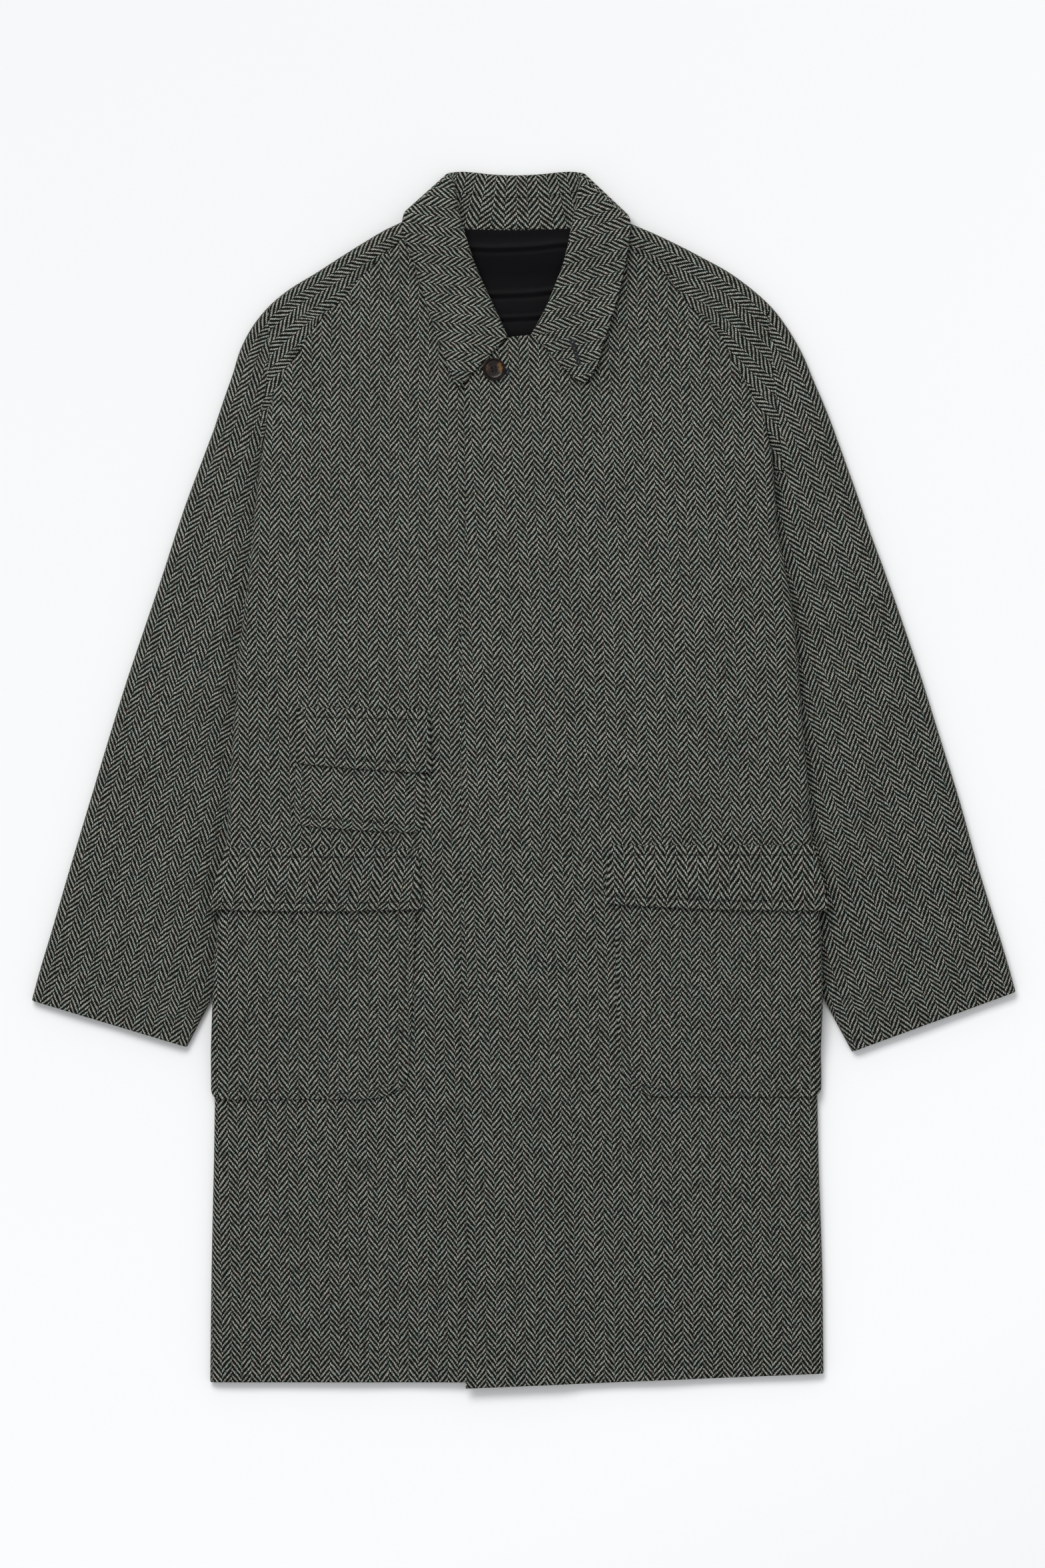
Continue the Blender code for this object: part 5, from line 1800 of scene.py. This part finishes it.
class CoatCloth(PropertyGroup):
    """The coat's cloth and how it lies."""

    column_width: FloatProperty(
        name="Column width", description="Width of one herringbone column", default=0.00935,
        min=0.002, max=0.03, precision=4, unit="LENGTH")
    pick_pitch: FloatProperty(
        name="Pick pitch", description="Length of cloth for each weft thread", default=0.001395,
        min=0.0005, max=0.004, precision=5, unit="LENGTH")
    weave_relief: FloatProperty(
        name="Weave relief", description="Depth of the weave", default=0.0004,
        min=0.0, max=0.002, precision=5, unit="LENGTH")
    nap: FloatProperty(
        name="Nap", description="How strongly the cloth's fine hairs catch the light",
        default=0.008, min=0.0, max=1.0, subtype="FACTOR")
    unevenness: FloatProperty(
        name="Unevenness", description="How strongly the laid cloth rises and falls",
        default=1.0, min=0.0, max=3.0)
    seam_depth: FloatProperty(
        name="Seam depth", description="How far the cloth dips into a seam", default=0.0013,
        min=0.0, max=0.003, precision=4, unit="LENGTH")
    seam_width: FloatProperty(
        name="Seam width", description="How wide that dip is", default=0.0028,
        min=0.001, max=0.01, precision=4, unit="LENGTH")
    light_yarn: FloatVectorProperty(
        name="Light yarn", description="Colour of the light warp", subtype="COLOR", size=3,
        default=(0.40, 0.415, 0.365), min=0.0, max=1.0)
    light_yarn_cool: FloatVectorProperty(
        name="Cool light yarn", description="The warp's greener streaks", subtype="COLOR",
        size=3, default=(0.36, 0.41, 0.37), min=0.0, max=1.0)
    light_yarn_warm: FloatVectorProperty(
        name="Warm light yarn", description="The warp's warmer streaks", subtype="COLOR",
        size=3, default=(0.44, 0.42, 0.36), min=0.0, max=1.0)
    dark_yarn: FloatVectorProperty(
        name="Dark yarn", description="Colour of the dark weft", subtype="COLOR", size=3,
        default=(0.0035, 0.0042, 0.003), min=0.0, max=1.0)
    fleck: FloatVectorProperty(
        name="Fleck", description="Colour of the rare flecks in the yarn", subtype="COLOR",
        size=3, default=(0.32, 0.30, 0.10), min=0.0, max=1.0)


class CoatTrim(PropertyGroup):
    """The coat's lining, button and threads."""

    lining: FloatVectorProperty(
        name="Lining", description="Colour of the satin lining", subtype="COLOR", size=3,
        default=(0.0012, 0.0012, 0.0015), min=0.0, max=1.0)
    horn_dark: FloatVectorProperty(
        name="Dark horn", description="The button's darkest parts", subtype="COLOR", size=3,
        default=(0.004, 0.0035, 0.0035), min=0.0, max=1.0)
    horn_brown: FloatVectorProperty(
        name="Brown horn", description="The button's middle shade", subtype="COLOR", size=3,
        default=(0.013, 0.008, 0.006), min=0.0, max=1.0)
    horn_amber: FloatVectorProperty(
        name="Amber horn", description="The button's clear parts", subtype="COLOR", size=3,
        default=(0.17, 0.085, 0.032), min=0.0, max=1.0)
    buttonhole_thread: FloatVectorProperty(
        name="Buttonhole thread", description="Colour of the buttonholes", subtype="COLOR",
        size=3, default=(0.016, 0.018, 0.024), min=0.0, max=1.0)
    sewing_thread: FloatVectorProperty(
        name="Sewing thread", description="Colour of the button's thread", subtype="COLOR",
        size=3, default=(0.012, 0.011, 0.012), min=0.0, max=1.0)


class CoatStage(PropertyGroup):
    """The plain studio round the coat."""

    camera_distance: FloatProperty(
        name="Camera distance", description="From the camera down to the coat", default=6.0,
        min=2.0, max=20.0, unit="LENGTH")
    daylight: FloatProperty(
        name="Daylight", description="Strength of the light from all round", default=0.62,
        min=0.0, max=5.0)
    key_power: FloatProperty(
        name="Key light", description="Power of the large soft light, in watts", default=108.0,
        min=0.0, max=5000.0)
    key_place: FloatVectorProperty(
        name="Key place", description="Where the large soft light hangs", subtype="XYZ",
        size=3, default=(-1.1, 2.3, 3.0))
    floor_tone: FloatProperty(
        name="Floor tone", description="How bright the floor looks", default=1.01,
        min=0.0, max=1.2, subtype="FACTOR")


class COAT_OT_body(Operator):
    """Makes the back and the two fronts"""

    bl_idname = "coat.body"
    bl_label = "Back and fronts"

    def execute(self, context):
        material = tweed_material()
        make_back(material)
        right_edge, lap_edge = body_rows("right", "lap")
        right_edge[:, 0] = across(RIGHT_FRONT_EDGE_X)
        right_edge[0, 1] = max(right_edge[0, 1], up(HEM_UNDER_LAP_Y))
        make_front("right", RIGHT_SHOULDER, right_edge, 0.0, unevenness, RIGHT_PEAK, material)
        make_front("left", LEFT_SHOULDER, lap_edge, 1.0, front_crest, LEFT_PEAK, material)
        return {"FINISHED"}


class COAT_OT_sleeves(Operator):
    """Makes both raglan sleeves, each in a front and a back half"""

    bl_idname = "coat.sleeves"
    bl_label = "Sleeves"

    def execute(self, context):
        material = tweed_material()
        make_sleeve("right", RIGHT_SLEEVE, RIGHT_SHOULDER, RIGHT_FOLD, material)
        make_sleeve("left", LEFT_SLEEVE, LEFT_SHOULDER, LEFT_FOLD, material)
        return {"FINISHED"}


class COAT_OT_collar(Operator):
    """Makes the collar's fall and stand"""

    bl_idname = "coat.collar"
    bl_label = "Collar"

    def execute(self, context):
        material = tweed_material()
        make_collar_fall(material)
        make_collar_stand(material)
        return {"FINISHED"}


class COAT_OT_lining(Operator):
    """Makes the lining that shows in the neck"""

    bl_idname = "coat.lining"
    bl_label = "Neck lining"

    def execute(self, context):
        make_neck_lining(satin_material())
        return {"FINISHED"}


class COAT_OT_pockets(Operator):
    """Makes the patch pockets, the ticket pocket and their flaps"""

    bl_idname = "coat.pockets"
    bl_label = "Pockets and flaps"

    def execute(self, context):
        material = tweed_material()
        make_patch_pocket("right", RIGHT_POCKET, material)
        make_patch_pocket("left", LEFT_POCKET, material)
        for name in PATCHES:
            make_patch(name, material)
        return {"FINISHED"}


class COAT_OT_fastening(Operator):
    """Makes the neck button, its buttonhole and the one on the collar's leaf"""

    bl_idname = "coat.fastening"
    bl_label = "Button and buttonholes"

    def execute(self, context):
        trim = context.scene.coat_trim
        make_button(horn_material())
        thread = thread_material("buttonhole thread", trim.buttonhole_thread)
        buttonhole("front_buttonhole", *FRONT_BUTTONHOLE, "front_left_cloth", thread)
        buttonhole("leaf_buttonhole", *LEAF_BUTTONHOLE, "collar_fall_cloth", thread)
        sewing = thread_material("button thread", trim.sewing_thread)
        topstitch(sewing)
        sew_button(sewing)
        return {"FINISHED"}


class COAT_OT_stage(Operator):
    """Sets the floor, the light and the camera straight above"""

    bl_idname = "coat.stage"
    bl_label = "Stage"

    def execute(self, context):
        stage = context.scene.coat_stage
        scene = context.scene
        scene.view_settings.view_transform = "Standard"
        world = bpy.data.worlds.new("soft daylight")
        world.use_nodes = True
        background = world.node_tree.nodes["Background"]
        background.inputs["Color"].default_value = SKY
        background.inputs["Strength"].default_value = stage.daylight
        scene.world = world
        lamp_place = Vector(stage.key_place)
        toward = (Vector(LAMP_AIM) - lamp_place).normalized()
        corners = [(side_x * FLOOR_HALF, side_y * FLOOR_HALF, -FLOOR_BELOW)
                   for side_x, side_y in ((-1, -1), (1, -1), (1, 1), (-1, 1))]
        mesh = bpy.data.meshes.new("floor")
        mesh.from_pydata(corners, [], [(0, 1, 2, 3)])
        mesh.materials.append(floor_paper(stage, lamp_place, toward))
        add_object("floor", mesh)
        lamp = bpy.data.lights.new("key light", "AREA")
        lamp.energy = stage.key_power
        lamp.shape = "RECTANGLE"
        lamp.size, lamp.size_y = LAMP_SIZE
        key = add_object("key light", lamp)
        key.location = lamp_place
        key.rotation_euler = toward.to_track_quat("-Z", "Y").to_euler()
        lens = bpy.data.cameras.new("photo camera")
        lens.sensor_width = SENSOR
        lens.lens = SENSOR * stage.camera_distance / (PHOTO_HEIGHT * MM_PER_PIXEL * MM)
        camera = add_object("photo camera", lens)
        camera.location = (float(across(PHOTO_WIDTH / 2)) * MM, float(up(PHOTO_HEIGHT / 2)) * MM,
                           stage.camera_distance + COAT_HEIGHT)
        scene.camera = camera
        return {"FINISHED"}


class COAT_PT_panel(Panel):
    """The coat's pieces in the order in which they are made"""

    bl_label = "Coat"
    bl_idname = "COAT_PT_panel"
    bl_space_type = "VIEW_3D"
    bl_region_type = "UI"
    bl_category = "Coat"

    def draw(self, context):
        for settings in (context.scene.coat_cloth, context.scene.coat_trim,
                         context.scene.coat_stage):
            box = self.layout.box()
            for name in settings.__annotations__:
                box.prop(settings, name)
        for operator in OPERATORS:
            self.layout.operator(operator.bl_idname)


SETTINGS = (CoatCloth, CoatTrim, CoatStage)
OPERATORS = (COAT_OT_stage, COAT_OT_body, COAT_OT_sleeves, COAT_OT_lining, COAT_OT_collar,
             COAT_OT_pockets, COAT_OT_fastening)


def register():
    for made in (*SETTINGS, *OPERATORS, COAT_PT_panel):
        bpy.utils.register_class(made)
    bpy.types.Scene.coat_cloth = PointerProperty(type=CoatCloth)
    bpy.types.Scene.coat_trim = PointerProperty(type=CoatTrim)
    bpy.types.Scene.coat_stage = PointerProperty(type=CoatStage)


def unregister():
    del bpy.types.Scene.coat_stage
    del bpy.types.Scene.coat_trim
    del bpy.types.Scene.coat_cloth
    for made in reversed((*SETTINGS, *OPERATORS, COAT_PT_panel)):
        bpy.utils.unregister_class(made)


def main():
    register()
    bpy.ops.coat.stage()
    bpy.ops.coat.body()
    bpy.ops.coat.sleeves()
    bpy.ops.coat.lining()
    bpy.ops.coat.collar()
    bpy.ops.coat.pockets()
    bpy.ops.coat.fastening()


if __name__ == "__main__":
    main()
